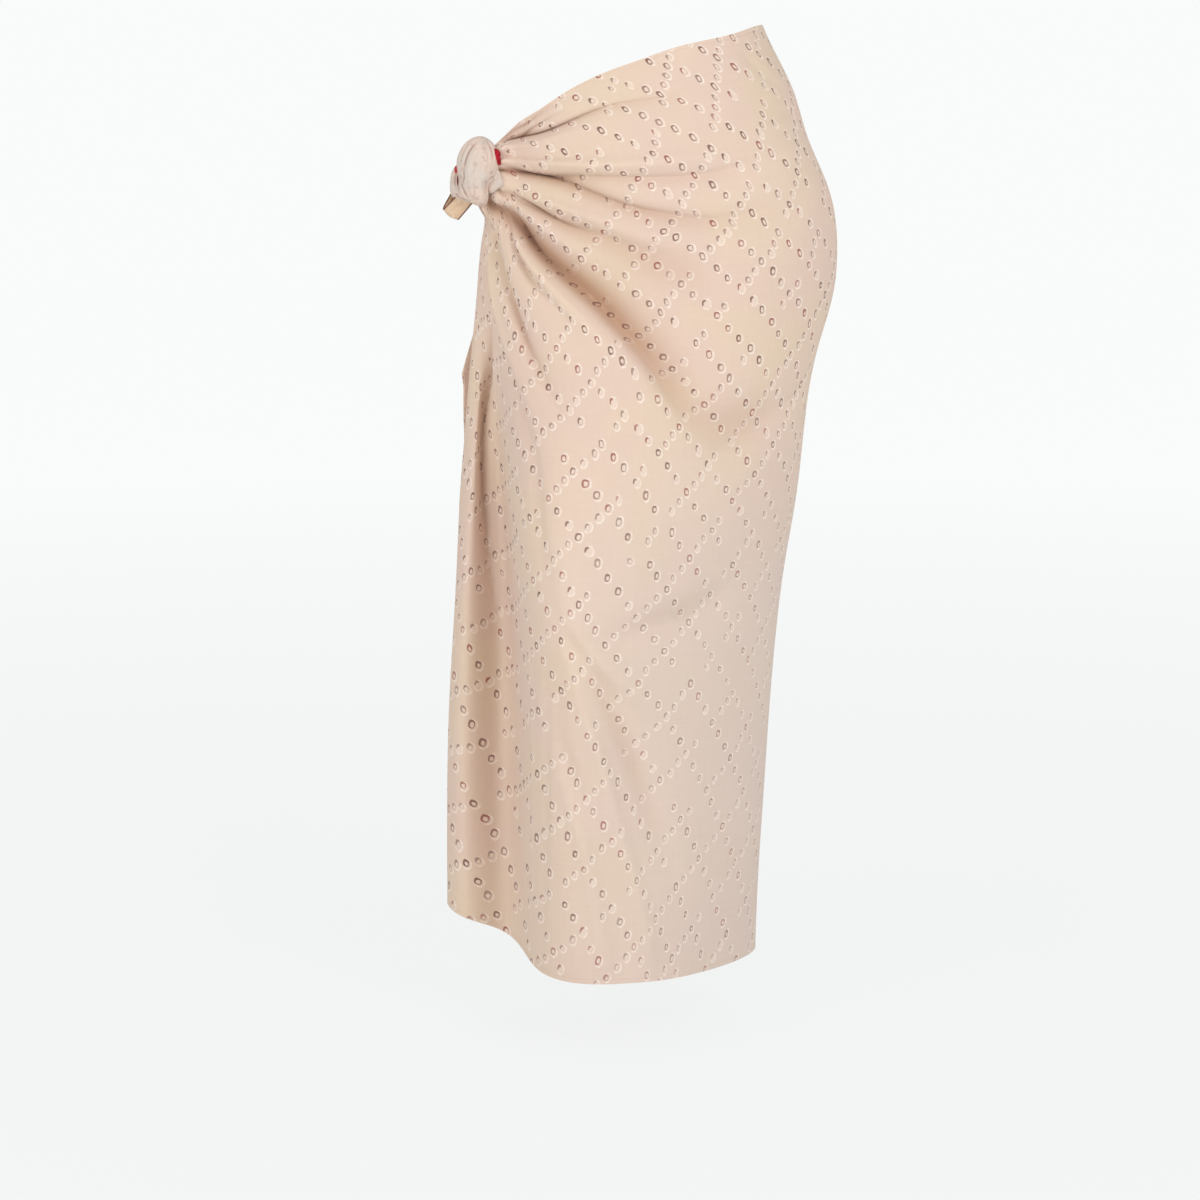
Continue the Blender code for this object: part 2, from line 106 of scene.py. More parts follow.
# Name, line of (x, z), depth, start, near, far, above, below, crisp, lap, rise, hold. A ridge has a negative
# depth. A fold has the start's share of its depth at first, and all of it after the rise's share of its line.
# It holds for a share of the line and then dies away. Near and far are half widths at its ends, which above
# and below change on each side. Crisp folds have steep sides. Lap is how far the cloth above falls over.
FRONT_FOLDS = (
    ("edge crease", ((-142, -55), (-121, -36), (-97, -20), (-65, -3)),
     5, 0.9, 2.2, 5, 0.7, 1.2, 1.4, 1.5, 0.1, 0.5),
    ("upper crease", ((-141, -58), (-122, -43), (-99, -31), (-72, -20), (-48, -11)),
     4.5, 0.9, 2, 5, 0.6, 1.2, 1.3, 2, 0.1, 0.4),
    ("top tuck", ((-138, -58), (-104, -42), (-67, -27), (-37, -16), (8, -9), (66, 4), (124, 22)),
     7.5, 0.9, 3, 8, 0.55, 1.5, 1.25, 3, 0.1, 0.25),
    ("tuck ridge", ((-137, -66), (-106, -54), (-72, -43), (-34, -34)), -3, 0.8, 2.5, 7, 1, 1, 2, 0, 0.1, 0.5),
    ("short crease", ((-138, -72), (-111, -69), (-76, -67), (-31, -67)),
     4.5, 0.8, 2.5, 7, 0.8, 1.1, 1.4, 1, 0.1, 0.4),
    ("high ridge", ((-135, -75), (-81, -74), (-21, -75), (48, -68), (118, -53)),
     -4.5, 0.7, 3, 12, 1, 0.8, 2, 0, 0.15, 0.55),
    ("high valley", ((-134, -79), (-94, -81), (-21, -85), (58, -82), (103, -74), (149, -61)),
     7, 0.8, 2.6, 11, 0.5, 1.3, 1.35, 1.5, 0.15, 0.65),
    ("belly fold", ((-135, -81), (-101, -83), (-78, -89), (-44, -102), (-10, -113), (28, -121), (73, -126),
     (118, -118), (159, -107), (193, -97)),
     10, 0.7, 3.5, 18, 0.75, 1.6, 1.45, 4, 0.12, 0.3),
    ("belly ridge", ((-141, -98), (-111, -107), (-78, -117), (-41, -129), (8, -144), (58, -148)),
     -4.5, 0.8, 3, 8, 0.9, 0.9, 2, 0, 0.1, 0.4),
    ("mid fold", ((-136, -100), (-111, -113), (-79, -131), (-44, -141), (-11, -154), (28, -162), (83, -166),
     (118, -163)),
     9, 0.8, 3, 22, 0.8, 1.2, 1.35, 2.5, 0.1, 0.3),
    ("mid ridge", ((-141, -105), (-118, -122), (-91, -142), (-66, -158), (-36, -176)),
     -6, 0.8, 3, 10, 1, 0.8, 2, 0, 0.1, 0.4),
    ("great fold", ((-144, -111), (-129, -134), (-117, -150), (-101, -167), (-76, -187), (-47, -210),
     (-20, -236), (9, -268), (33, -304), (59, -330), (87, -332), (117, -313), (151, -277)),
     19, 0.75, 5.5, 36, 1.3, 0.5, 1.35, 2, 0.06, 0.3),
    ("thigh ridge", ((-146, -116), (-129, -149), (-109, -175), (-82, -204), (-50, -235), (-12, -275),
     (19, -315)),
     -7, 0.8, 3, 18, 0.8, 1, 2, 0, 0.1, 0.4),
    ("inner fold", ((-150, -115), (-139, -136), (-130, -156), (-115, -184), (-94, -207), (-71, -230),
     (-46, -252)),
     10.5, 0.9, 3.5, 10, 1.1, 0.7, 1.25, 0, 0.1, 0.35),
    ("long fold", ((-157, -118), (-154, -141), (-149, -163), (-137, -205), (-119, -251), (-97, -291),
     (-79, -321), (-58, -362)),
     11.5, 0.9, 3.5, 12, 1.2, 0.7, 1.25, 1, 0.08, 0.5),
    ("long ridge", ((-156, -120), (-155, -152), (-151, -196), (-140, -246), (-121, -293), (-101, -336)),
     -4.5, 0.9, 2.6, 9, 1, 1, 2, 0, 0.1, 0.5),
    ("edge fold", ((-157, -124), (-157, -158), (-156, -203), (-153, -244)),
     2.5, 0.9, 2, 5, 1, 1, 1.6, 0, 0.1, 0.5),
    ("flank crease", ((-152, -232), (-154, -280), (-155, -330), (-155, -390), (-153, -460), (-148, -530),
     (-139, -610)),
     14, 0.55, 4, 11, 0.25, 1.8, 1.15, 0, 0.2, 0.4),
    ("flank valley", ((-145, -229), (-135, -272), (-124, -310), (-114, -341), (-106, -376), (-103, -420),
     (-98, -464), (-89, -503), (-81, -542)),
     4, 0.2, 6, 14, 0.9, 1.6, 1.7, 0, 0.3, 0.7),
    ("shin valley", ((-69, -544), (-54, -566), (-41, -587), (-28, -618), (-14, -656), (2, -702), (15, -743),
     (30, -781), (44, -829), (54, -868)),
     8, 0.4, 6, 26, 0.8, 1, 1.8, 0, 0.2, 0.35),
    ("right shin ridge", ((-81, -502), (-63, -537), (-41, -566), (-9, -596), (25, -627), (51, -659),
     (74, -690)),
     -5, 0.3, 10, 18, 1, 0.8, 2, 0, 0.3, 0.4),
    ("left shin ridge", ((-75, -557), (-67, -583), (-58, -616), (-44, -656), (-31, -706), (-17, -761),
     (-3, -814), (8, -871), (13, -909)),
     -5, 0.4, 6, 13, 0.9, 1, 2, 0, 0.3, 0.85),
    ("left shin valley", ((-88, -642), (-73, -672), (-59, -708), (-45, -756), (-31, -810), (-19, -859),
     (-10, -907)),
     3.5, 0.2, 5, 11, 1, 1, 1.8, 0, 0.3, 0.85),
    ("middle shin ridge", ((-93, -659), (-79, -694), (-67, -728), (-58, -761), (-49, -815), (-39, -868),
     (-35, -906)),
     -3.5, 0.2, 6, 10, 1, 1, 2, 0, 0.3, 0.9),
    ("crest valley", ((-100, -546), (-96, -607), (-96, -670), (-97, -746), (-99, -812), (-102, -901)),
     3, 0.2, 5, 7, 1, 1, 1.8, 0, 0.3, 0.8),
    ("crest ridge", ((-115, -554), (-111, -614), (-109, -688), (-110, -775), (-114, -867), (-114, -917)),
     -2.5, 0.2, 4, 6, 1, 1, 2, 0, 0.3, 0.8),
    ("knee pocket", ((-51, -542), (-16, -538), (19, -530), (55, -520), (86, -500), (117, -471)),
     8, 0.3, 12, 20, 0.7, 1.4, 1.6, 0, 0.4, 0.5),
    ("side sag", ((165, -305), (136, -325), (102, -345), (62, -372), (24, -392)),
     8, 0.15, 12, 30, 0.9, 1.3, 1.7, 0, 0.4, 0.4),
    ("front hollow", ((-25, -160), (10, -174), (60, -188), (110, -194)),
     5, 0.3, 16, 26, 0.9, 1.1, 1.8, 0, 0.3, 0.5),
    ("shin hollow", ((-92, -560), (-84, -612), (-74, -670), (-60, -740)),
     5, 0.3, 13, 18, 1, 1, 1.8, 0, 0.3, 0.6),
    ("side nick", ((163, -303), (152, -313), (141, -324)), 3, 0.8, 4, 5, 1, 1, 1.6, 0, 0.1, 0.3),
    ("hip ripple", ((157, -24), (136, -29), (113, -37)), 2.5, 1, 5, 6, 1, 1, 2, 0, 0.2, 0.4),
    ("lower hip ripple", ((167, -43), (144, -48), (120, -58)), 2, 1, 5, 6, 1, 1, 2, 0, 0.2, 0.4),
    ("corner dent", ((106, 30), (129, 8), (150, -8)), 1.5, 1, 6, 8, 1, 1, 2, 0, 0.2, 0.4),
)  # fmt: skip
BACK_FOLDS = (
    ("waist crease", ((-146, -72), (-120, -62), (-80, -50), (-20, -28)),
     3, 0.9, 3, 7, 1, 1, 1.6, 1, 0.1, 0.4),
    ("waist tuck", ((-143, -84), (-100, -78), (-40, -60), (40, -28), (110, 6)),
     6, 0.8, 3, 10, 0.7, 1.4, 1.4, 2, 0.1, 0.35),
    ("seat ridge", ((-140, -95), (-90, -100), (-20, -98), (60, -78)),
     -3.5, 0.6, 4, 12, 1, 0.9, 2, 0, 0.15, 0.5),
    ("seat fold", ((-141, -104), (-95, -122), (-40, -142), (20, -152), (90, -148), (150, -130)),
     8, 0.7, 4, 16, 0.8, 1.5, 1.45, 3, 0.15, 0.4),
    ("seat crease", ((-150, -118), (-118, -140), (-78, -172), (-30, -200), (30, -214)),
     6, 0.8, 3, 12, 0.9, 1.1, 1.4, 1.5, 0.1, 0.35),
    ("deep fold", ((-154, -126), (-128, -168), (-98, -212), (-58, -258), (-14, -300), (40, -322), (92, -316)),
     12, 0.7, 4, 24, 1.2, 0.7, 1.4, 2, 0.1, 0.35),
    ("thigh fold", ((-158, -132), (-142, -190), (-120, -250), (-92, -318), (-62, -380)),
     7, 0.8, 3, 12, 1, 0.9, 1.4, 1, 0.1, 0.4),
    ("thigh ridge", ((-160, -136), (-150, -200), (-134, -270), (-112, -340)),
     -3, 0.7, 3, 10, 1, 1, 2, 0, 0.1, 0.5),
    ("calf valley", ((-70, -470), (-52, -560), (-38, -660), (-30, -770), (-26, -880)),
     7, 0.3, 8, 22, 0.9, 1, 1.6, 1, 0.3, 0.7),
    ("calf ridge", ((-96, -500), (-84, -600), (-74, -710), (-70, -890)),
     -4, 0.3, 8, 14, 1, 1, 2, 0, 0.3, 0.85),
    ("right calf valley", ((60, -540), (52, -640), (44, -760), (40, -890)),
     5, 0.2, 8, 18, 1, 1, 1.8, 0, 0.3, 0.85),
    ("right calf ridge", ((88, -560), (80, -660), (72, -780), (68, -895)),
     -3, 0.2, 8, 14, 1, 1, 2, 0, 0.3, 0.85),
)  # fmt: skip
FOLD_POINTS = 72  # points that a fold's middle line is drawn with
PLEATS_NARROW = 40 * MM  # within this distance of the knot's middle the folds get smaller towards it
FOLD_SOFT = 0.006  # a fold's bottom is rounded over this share of the distance from the knot
IRONED_REACH = (165 * MM, 32 * MM)  # not at all, and fully, this far from the knot
CLOTH_IRONED = (16, 0.5, 0.05)  # rounds, and the shares evened out along the rays and across them
MARKS_IRONED = (20, 0.5, 0.08)  # the same, for how pressed the cloth is and the lines of its creases, which the finish paints as shade and light
CREASE_SHADOW_WIDTH = 1.1 * MM  # half width of the painted shadow line where cloth touches cloth, on a fold 8 mm deep
CREASE_SHADOW_FADES = (190 * MM, 60 * MM)  # no such lines, and full ones, this far from the knot
DEEP = 10 * MM  # a fold pressed in this far counts as 1 for the finish, which paints it as shade

# Fine gathers that fan out of the knot: how many would make a full turn, their height, and how far turned.
GATHERS = ((23, 0.8, 0.4), (41, 0.5, 2.1), (67, 0.3, 4.0))
GATHER_REACH = (7 * MM, 38 * MM, 120 * MM)  # they begin, are fullest and end this far from the knot

# ---- The cloth as it was cut: u runs along the waist edge and v down, from the corner tied in the knot ----

CUT_LENGTH = 965 * MM
CORNER_TIED = 183 * MM  # of each corner that goes into the knot and its tails
WAIST_TO_JOIN = 500 * MM
WAIST_BEHIND = 440 * MM
BACK_CORNER = CORNER_TIED + WAIST_TO_JOIN + WAIST_BEHIND + CORNER_TIED

CLOTH = 0.7 * MM  # thickness that shows at its edges
STEP_GROWTH = 1.25  # the steps along a ray lengthen away from the knot
WAIST_MET, FREE_MET = 0.08, 0.05  # shares of the first and the last ray over which each bends to its edge
LAP_MIDDLE, LAP_REACH = 0.75, 0.8  # where the cloth above a fold laps over most, in the fold's half widths
HEM_LINES = np.array([8, 6, 4.4, 1.2, 0]) * MM  # rows of the mesh, inside each cut edge, that shape its hem
HEM_STANDS = 0.2 * MM  # the doubled cloth of the hem stands out by this

# Side is the way that places run to the free edge, and turn is added to that edge's. The angles are of the
# first ray, by the waist edge, and of the last. The mouth is the cloth's end inside the knot, this far behind
# the knot's middle.
Stretch = namedtuple(
    "Stretch", "name side turn angles mouth_half_width mouth_depth join_rays hem_rays steps edge folds"
)
FRONT = Stretch("front", -1, 0, (58, -93), 15 * MM, 3 * MM, 232, 130, 130, FRONT_EDGE, FRONT_FOLDS)
BACK = Stretch("back", 1, TURN, (122, 266), 7 * MM, 19 * MM, 150, 90, 120, BACK_EDGE, BACK_FOLDS)


def metres(table):
    return np.array(table, float) * MM


def lengths_of(vectors):
    return np.linalg.norm(vectors, axis=-1)


def walked(points):
    """How far along a line of points each of them lies."""
    return np.append(0, np.cumsum(lengths_of(np.diff(points, axis=0))))


def spline_weights(knots, at, turn=None):
    """Weights that carry values at the knots to a smooth cubic at each place. A turn closes the curve."""
    knots, at = np.asarray(knots, float), np.asarray(at, float).ravel()
    count = len(knots)
    ends = knots if turn is None else np.append(knots, knots[0] + turn)
    gaps = np.diff(ends)
    pull, push = np.zeros((count, count)), np.zeros((count, count))
    for i in range(count):
        if turn is None and i in (0, count - 1):
            pull[i, i] = 1
            continue
        near = [(i - 1) % count, i, (i + 1) % count]
        h0, h1 = gaps[i - 1], gaps[i]
        pull[i, near] = h0, 2 * (h0 + h1), h1
        push[i, near] = 6 / h0, -6 / h0 - 6 / h1, 6 / h1
    bend = np.linalg.solve(pull, push)
    if turn is not None:
        at = np.mod(at - knots[0], turn) + knots[0]
    cell = np.clip(np.searchsorted(knots, at, side="right") - 1, 0, len(gaps) - 1)
    after, h = (cell + 1) % count, gaps[cell]
    b = (at - knots[cell]) / h
    a = 1 - b
    weights = np.zeros((len(at), count))
    rows = np.arange(len(at))
    weights[rows, cell] = a
    weights[rows, after] += b
    weights += ((a**3 - a) * h**2 / 6)[:, None] * bend[cell] + ((b**3 - b) * h**2 / 6)[:, None] * bend[after]
    return weights


def drawn_through(points, count):
    """This many points, evenly spaced, on a smooth line through the given ones."""
    run = walked(points)
    return spline_weights(run, np.linspace(0, run[-1], count)) @ points


def curve_through(table, at, turn=None):
    """A smooth curve through the table's rows (place, value), read at each place."""
    rows = metres(table)
    return (spline_weights(rows[:, 0], at, turn) @ rows[:, 1]).reshape(np.shape(at))


def eased(share):
    share = np.clip(share, 0, 1)
    return share * share * (3 - 2 * share)


def ramp(value, low, high):
    """0 at low, 1 at high and eased between them."""
    return eased((value - low) / (high - low))


def section_places():
    """The sections' heights, lowest first, and the x and y of their places."""
    col = dict(zip(SECTION_COLUMNS, metres(SECTIONS[::-1]).T))
    half = (col["right_x"] - col["left_x"]) / 2
    col["seat_x"] = col["left_x"] + half
    col["seat_right_x"] = col["seat_x"] + SEAT_RIGHT_SHARE * half
    xs, ys = (np.stack([col[f"{name}_{axis}"] for name in PLACE_NAMES], 1) for axis in "xy")
    return col["height"], xs, ys


HEIGHTS, PLACE_XS, PLACE_YS = section_places()


def form(place, height):
    """The point of the worn form at each place round it and each height."""
    place, height = np.broadcast_arrays(place, height)
    down = spline_weights(HEIGHTS, np.clip(height, HEIGHTS[0], HEIGHTS[-1]))
    around = spline_weights(PLACES, place, TURN)
    x, y = ((down @ PLACE_XS) * around).sum(1), ((down @ PLACE_YS) * around).sum(1)
    return np.stack([x, y, height.ravel()], -1).reshape(place.shape + (3,))


def place_of(x, height, stretch):
    """The place on the form's front or back that has this x at this height."""
    right = PLACES[PLACE_NAMES.index("right")]
    run = np.linspace(0, right, 200) if stretch is FRONT else np.linspace(TURN, right, 200)
    line = np.maximum.accumulate(form(run, np.full(len(run), height))[:, 0])
    return np.interp(x, line, run)


def from_knot(place, height, stretch):
    """How far across and up from the knot each point of the form lies."""
    return place - KNOT_PLACE - stretch.turn, height - KNOT_HEIGHT


def cloth_surface(place, height, stretch):
    """The unfolded cloth: it lies on the form and leaves it near the knot, to run into the knot's middle."""
    across, up = from_knot(place, height, stretch)
    angle = np.arctan2(up, across)
    cos, sin = np.cos(angle), np.sin(angle)
    x, y = stretch.mouth_half_width * cos, np.full(cos.shape, stretch.mouth_depth)
    mouth = KNOT + np.stack([x, y, MOUTH_HALF_HEIGHT * sin], -1)
    lift = mouth - form(KNOT_PLACE + MOUTH * cos, KNOT_HEIGHT + MOUTH * sin)
    near = 1 - eased((np.hypot(across, up) - MOUTH) / KNOT_SPREAD)
    return form(place, height) + lift * near[..., None]


def normals_of(place, height, stretch):
    step = 1 * MM
    across = cloth_surface(place + step, height, stretch) - cloth_surface(place - step, height, stretch)
    up = cloth_surface(place, height + step, stretch) - cloth_surface(place, height - step, stretch)
    normal = np.cross(across, up)
    return normal / lengths_of(normal)[..., None]


# ---- The grid of rays that fans out of the knot ----


def join_heights(rays):
    """Where rays end down the join: the waist hem's rows, then heights closest together near the knot's."""
    top, foot = curve_through(WAIST_EDGE, [JOIN])[0], curve_through(HEM, [JOIN], TURN)[0]
    hem = top - HEM_LINES[::-1]
    walk = np.linspace(hem[-1], foot, 500)
    turned = np.arctan2(walk - KNOT_HEIGHT, JOIN - KNOT_PLACE)
    even = (turned - turned[0]) / (turned[-1] - turned[0]) + (walk - walk[0]) / (foot - walk[0])
    rest = np.interp(np.linspace(0, 2, rays - len(hem) + 2), even, walk)
    return np.concatenate([hem[:-1], rest])


def fan(stretch):
    """Places and heights of a grid of rays from the knot: the first along the waist edge, the last along the
    free edge, and the rest ending down the join and then along the hem."""
    edge = metres(stretch.edge[::-1]) + (0, stretch.turn)
    down = join_heights(stretch.join_rays)
    ends = edge[0, 1] - stretch.side * HEM_LINES
    hem_places = np.linspace(JOIN, ends[0], stretch.hem_rays - len(HEM_LINES) + 2)[1:]
    hem_places = np.concatenate([hem_places, ends[1:]])
    end_place = np.concatenate([np.full(len(down), JOIN), hem_places])
    end_height = np.concatenate([down, curve_through(HEM, hem_places, TURN)])
    share = np.linspace(0, 1, len(end_place))
    angle = np.radians(np.interp(share, (0, 1), stretch.angles))
    knot = np.array([[KNOT_PLACE + stretch.turn], [KNOT_HEIGHT]])
    start = knot + MOUTH * np.array([np.cos(angle), np.sin(angle)])
    ray = np.array([end_place, end_height]) - start
    length = np.hypot(*ray)[:, None]
    main = np.linspace(0, 1, stretch.steps - len(HEM_LINES) + 2) ** STEP_GROWTH
    along = np.concatenate([main * (1 - HEM_LINES[0] / length), 1 - HEM_LINES[1:] / length], axis=1)
    place, height = start[..., None] + ray[..., None] * along
    waist = eased(along[0] / WAIST_MET) * (curve_through(WAIST_EDGE, place[0]) - height[0])
    free = eased(along[-1] / FREE_MET) * (np.interp(height[-1], edge[:, 0], edge[:, 1]) - place[-1])
    height += ((1 - share) ** 3)[:, None] * waist
    place += (share**5)[:, None] * free
    return place, height


def fold_line(line, stretch):
    """A fold's middle line laid on the cloth, smoothly joined."""
    rows = np.array([(place_of(x, z, stretch), z) for x, z in metres(line)])
    knot = np.array((KNOT_PLACE + stretch.turn, KNOT_HEIGHT))
    away = lengths_of(rows[0] - knot)
    if away < KNOT_SPREAD:
        rows = np.vstack([knot + 1.1 * MOUTH * (rows[0] - knot) / away, rows])
    return cloth_surface(*drawn_through(rows, FOLD_POINTS).T, stretch)


def beside_line(points, normals, middle):
    """Each point's distance from a line, the share of the line it lies at, which side, and the way across."""
    legs = np.diff(middle, axis=0)
    lengths, before = lengths_of(legs), walked(middle)
    nearest = np.full(len(points), np.inf)
    share, side, across = np.zeros(len(points)), np.zeros(len(points)), np.zeros(points.shape)
    for leg, length, start, origin in zip(legs, lengths, before, middle):
        away = points - origin
        along = np.clip(away @ leg / length**2, 0, 1)
        rest = away - along[:, None] * leg
        distance = lengths_of(rest)
        closer = distance < nearest
        over = np.cross(normals[closer], leg / length)
        nearest[closer] = distance[closer]
        share[closer] = (start + along[closer] * length) / before[-1]
        side[closer] = np.sign((over * rest[closer]).sum(-1))
        across[closer] = over
    return nearest, share, side, across


def folded(points, normals, stretch):
    """How far all the folds together move each point, how far it is pressed in, which the finish paints as
    shade in folds and light on ridges, and the painted shadow line of its creases.
    """
    moved = np.zeros(points.shape)
    pressed, crease_shadow = np.zeros(len(points)), np.zeros(len(points))
    away = lengths_of(points - KNOT)
    for _name, line, depth, start, near, far, above, below, crisp, lap, rise, hold in stretch.folds:
        middle = fold_line(line, stretch)
        reach = 3 * max(near, far) * max(above, below) * MM
        inside = np.all((points > middle.min(0) - reach) & (points < middle.max(0) + reach), axis=1)
        distance, share, side, across = beside_line(points[inside], normals[inside], middle)
        narrowed = np.clip(away[inside] / PLEATS_NARROW, 0.1, 1)
        half = (near + (far - near) * share**0.85) * narrowed * MM
        wide = half * np.where(side > 0, above, below)
        strength = (start + (1 - start) * eased(share / rise)) * ramp(share, 1, hold) * narrowed
        soft = FOLD_SOFT * away[inside]
        depths = depth * MM * strength * np.exp(-((np.hypot(distance, soft) / wide) ** crisp))
        over = (distance * side / (half * above) - LAP_MIDDLE) / LAP_REACH
        laps = lap * MM * strength * np.exp(-(over**2))
        moved[inside] -= normals[inside] * depths[:, None] + across * laps[:, None]
        # Painted fold shade and ridge light, made stronger near the knot.
        pressed[inside] += depths / narrowed * (0.8 + 1.2 * np.exp(-away[inside] / KNOT_SPREAD))
        # The painted shadow line where the cloth above a fold laps over.
        if lap:
            line_width = CREASE_SHADOW_WIDTH * depth / 8 + 1.5 * soft
            strength = strength * ramp(away[inside], *CREASE_SHADOW_FADES) * min(lap / 3, 1)
            crease_shadow[inside] += strength * np.exp(-((distance / line_width) ** 2))
    return moved, pressed, crease_shadow


def gathers(place, height, stretch):
    """How far the fine gathers that fan out of the knot stand at each point."""
    across, up = from_knot(place, height, stretch)
    angle, distance = np.arctan2(up, across), np.hypot(across, up)
    begin, fullest, end = GATHER_REACH
    strength = ramp(distance, begin, fullest) * ramp(distance, end, fullest)
    waves = sum(high * np.sin(count * angle + turned + 9 * distance) for count, high, turned in GATHERS)
    return waves * MM * strength


def tucked(place, height, stretch):
    """How far the back stretch stands out near its free edge, where the front one laps over it."""
    if stretch is FRONT:
        return np.zeros(place.shape)
    stands, edge = (np.interp(height, *metres(table[::-1]).T) for table in (BACK_TUCK, FRONT_EDGE))
    away = np.hypot(*from_knot(place, height, stretch))
    inside = place - TURN - np.minimum(edge, 0) + TUCK_WIDTH
    return stands * eased(inside / (0.7 * TUCK_WIDTH)) * eased(away / KNOT_SPREAD)


def ironed(values, strength, how):
    """Values on the grid evened out, mostly along its rays, where the folds' steep start would crumple it."""
    values = values.copy()
    rounds, on_rays, over_rays = how
    for _ in range(rounds):
        along, beside = values.copy(), values.copy()
        along[:, 1:-1] = (values[:, :-2] + values[:, 2:]) / 2
        beside[1:-1] = (values[:-2] + values[2:]) / 2
        values += strength * (on_rays * (along - values) + over_rays * (beside - values))
    return values


def cut_positions(flat, shaped, stretch, end_place, end_height):
    """Where each point lies on the cloth as it was cut. Rays run straight from the tied corner, and the cloth
    in the folds is counted along and across them."""
    join_rays = stretch.join_rays
    down = (end_height[0] - end_height) / (end_height[0] - end_height[join_rays])
    waist_u, hem_u = CORNER_TIED + WAIST_TO_JOIN, JOIN - FRONT_EDGE[-1][1] * MM
    on_join = waist_u + (hem_u - waist_u) * down
    ends = np.stack([np.where(end_place == JOIN, on_join, hem_u + end_place - JOIN), -CUT_LENGTH * down], -1)
    ends[join_rays + 1 :, 1] = -CUT_LENGTH
    if stretch is FRONT:
        corner, turn = 0, np.arctan2(-ends[:, 1], ends[:, 0])
    else:
        corner, turn = BACK_CORNER, np.linspace(0, math.pi / 2, len(ends))
    starts = CORNER_TIED * np.stack([-stretch.side * np.cos(turn), -np.sin(turn)], -1) + (corner, 0)
    runs = np.array([walked(ray) for ray in shaped])
    share = runs / runs[:, -1:]
    even = starts[:, None] + (ends - starts)[:, None] * share[..., None]
    cut = even.copy()
    for step in range(1, shaped.shape[1]):
        plain, full = walked(flat[:, step]), walked(shaped[:, step])
        for part in (slice(0, join_rays + 1), slice(join_rays, len(ends))):
            a, b = plain[part], full[part]
            at = np.interp(b, b[[0, -1]], a[[0, -1]])
            cut[part, step] = np.stack([np.interp(at, a, even[part, step, axis]) for axis in (0, 1)], -1)
    return cut


# ---- Pieces ----


def placed(name, data, place=(0, 0, 0), turn=(0, 0, 0)):
    made = bpy.data.objects.new(name, data)
    made.location, made.rotation_euler = place, turn
    bpy.context.scene.collection.objects.link(made)
    return made


def finished(made, thickness=0.0, sharp=50):
    """Gives a sheet its thickness, inwards, and shades the piece smooth but for its sharp edges."""
    bpy.ops.object.select_all(action="DESELECT")
    made.select_set(True)
    bpy.context.view_layer.objects.active = made
    if thickness:
        solid = made.modifiers.new("thickness", "SOLIDIFY")
        solid.thickness = thickness
        solid.offset = -1
        bpy.ops.object.modifier_apply(modifier=solid.name)
    made.data.shade_smooth()
    made.data.set_sharp_from_angle(angle=math.radians(sharp))
    return made


def marked(mesh, mark, values):
    """Gives each point of a mesh its number, which its finish reads."""
    mesh.attributes.new(mark, "FLOAT", "POINT").data.foreach_set("value", values.astype(np.float32).ravel())


def grid_sheet(name, points, cut, outwards, **marks):
    """A sheet through rows and columns of points, with its cut as the UV map and its points' marks."""
    rows, columns = points.shape[:2]
    index = np.arange(rows * columns).reshape(rows, columns)
    corners = np.stack([index[:-1, :-1], index[1:, :-1], index[1:, 1:], index[:-1, 1:]], -1).reshape(-1, 4)
    flat = points.reshape(-1, 3)
    a, b, c = (flat[corners[len(corners) // 2, k]] for k in range(3))
    if np.dot(np.cross(b - a, c - a), outwards) < 0:
        corners = corners[:, ::-1]
    mesh = bpy.data.meshes.new(name)
    mesh.from_pydata(flat.tolist(), [], corners.tolist())
    layer = mesh.uv_layers.new(name="cut")
    layer.data.foreach_set("uv", cut.reshape(-1, 2)[corners.ravel()].astype(np.float32).ravel())
    for mark, values in marks.items():
        marked(mesh, mark, values)
    return placed(name, mesh)


def hem_distance(rays, steps, join_rays):
    """How far inside the nearest cut edge each point of a stretch lies, counted on the hem's rows."""
    far = np.full((rays, steps), 2 * HEM_LINES[0])
    rows = len(HEM_LINES)
    far[join_rays:, -rows:] = HEM_LINES
    far[-rows:] = np.minimum(far[-rows:], HEM_LINES[:, None])
    far[:rows] = np.minimum(far[:rows], HEM_LINES[::-1, None])
    return far


def stretch_of_cloth(stretch):
    """One stretch of the wrap, with its folds, gathers and hems."""
    place, height = fan(stretch)
    flat, normals = cloth_surface(place, height, stretch), normals_of(place, height, stretch)
    moved, pressed, crease_shadow = folded(flat.reshape(-1, 3), normals.reshape(-1, 3), stretch)
    from_join = eased(np.abs(place - JOIN) / JOIN_SMOOTH)
    hem = hem_distance(*place.shape, stretch.join_rays)
    stand = gathers(place, height, stretch) + tucked(place, height, stretch)
    stand += HEM_STANDS * ramp(hem, HEM_LINES[1], HEM_LINES[2])
    shaped = flat + moved.reshape(flat.shape) * from_join[..., None] + normals * stand[..., None]
    shaped = ironed(shaped, ramp(lengths_of(shaped - KNOT), *IRONED_REACH)[..., None], CLOTH_IRONED)
    cut = cut_positions(flat, shaped, stretch, place[:, -1], height[:, -1])
    outwards = normals[place.shape[0] // 2, place.shape[1] // 2]
    pressed, crease_shadow = (
        ironed(np.clip(values.reshape(place.shape), least, most) * from_join, 1.0, MARKS_IRONED)
        for values, least, most in ((pressed / DEEP, -0.8, 1.6), (crease_shadow, 0, 1))
    )
    # The finish paints how pressed the cloth is as shade in folds and light on ridges, and its creases as
    # dark painted lines.
    marks = {"hem": hem / MM, "pressed": pressed, "crease_shadow": crease_shadow}
    return finished(grid_sheet(f"{stretch.name}_cloth", shaped, cut, outwards, **marks), CLOTH)


# ---- The knot ----

# Its outline seen from the front, x and z from its middle, anticlockwise.
KNOT_OUTLINE = (
    (20, 0), (21.5, 9), (20.5, 20), (15, 30), (5, 36.5), (-5, 35), (-14, 28), (-20, 17), (-21, 5),
    (-18.5, -8), (-17.5, -21), (-8, -29), (4, -33), (9, -30), (11, -20), (15, -10),
)  # fmt: skip
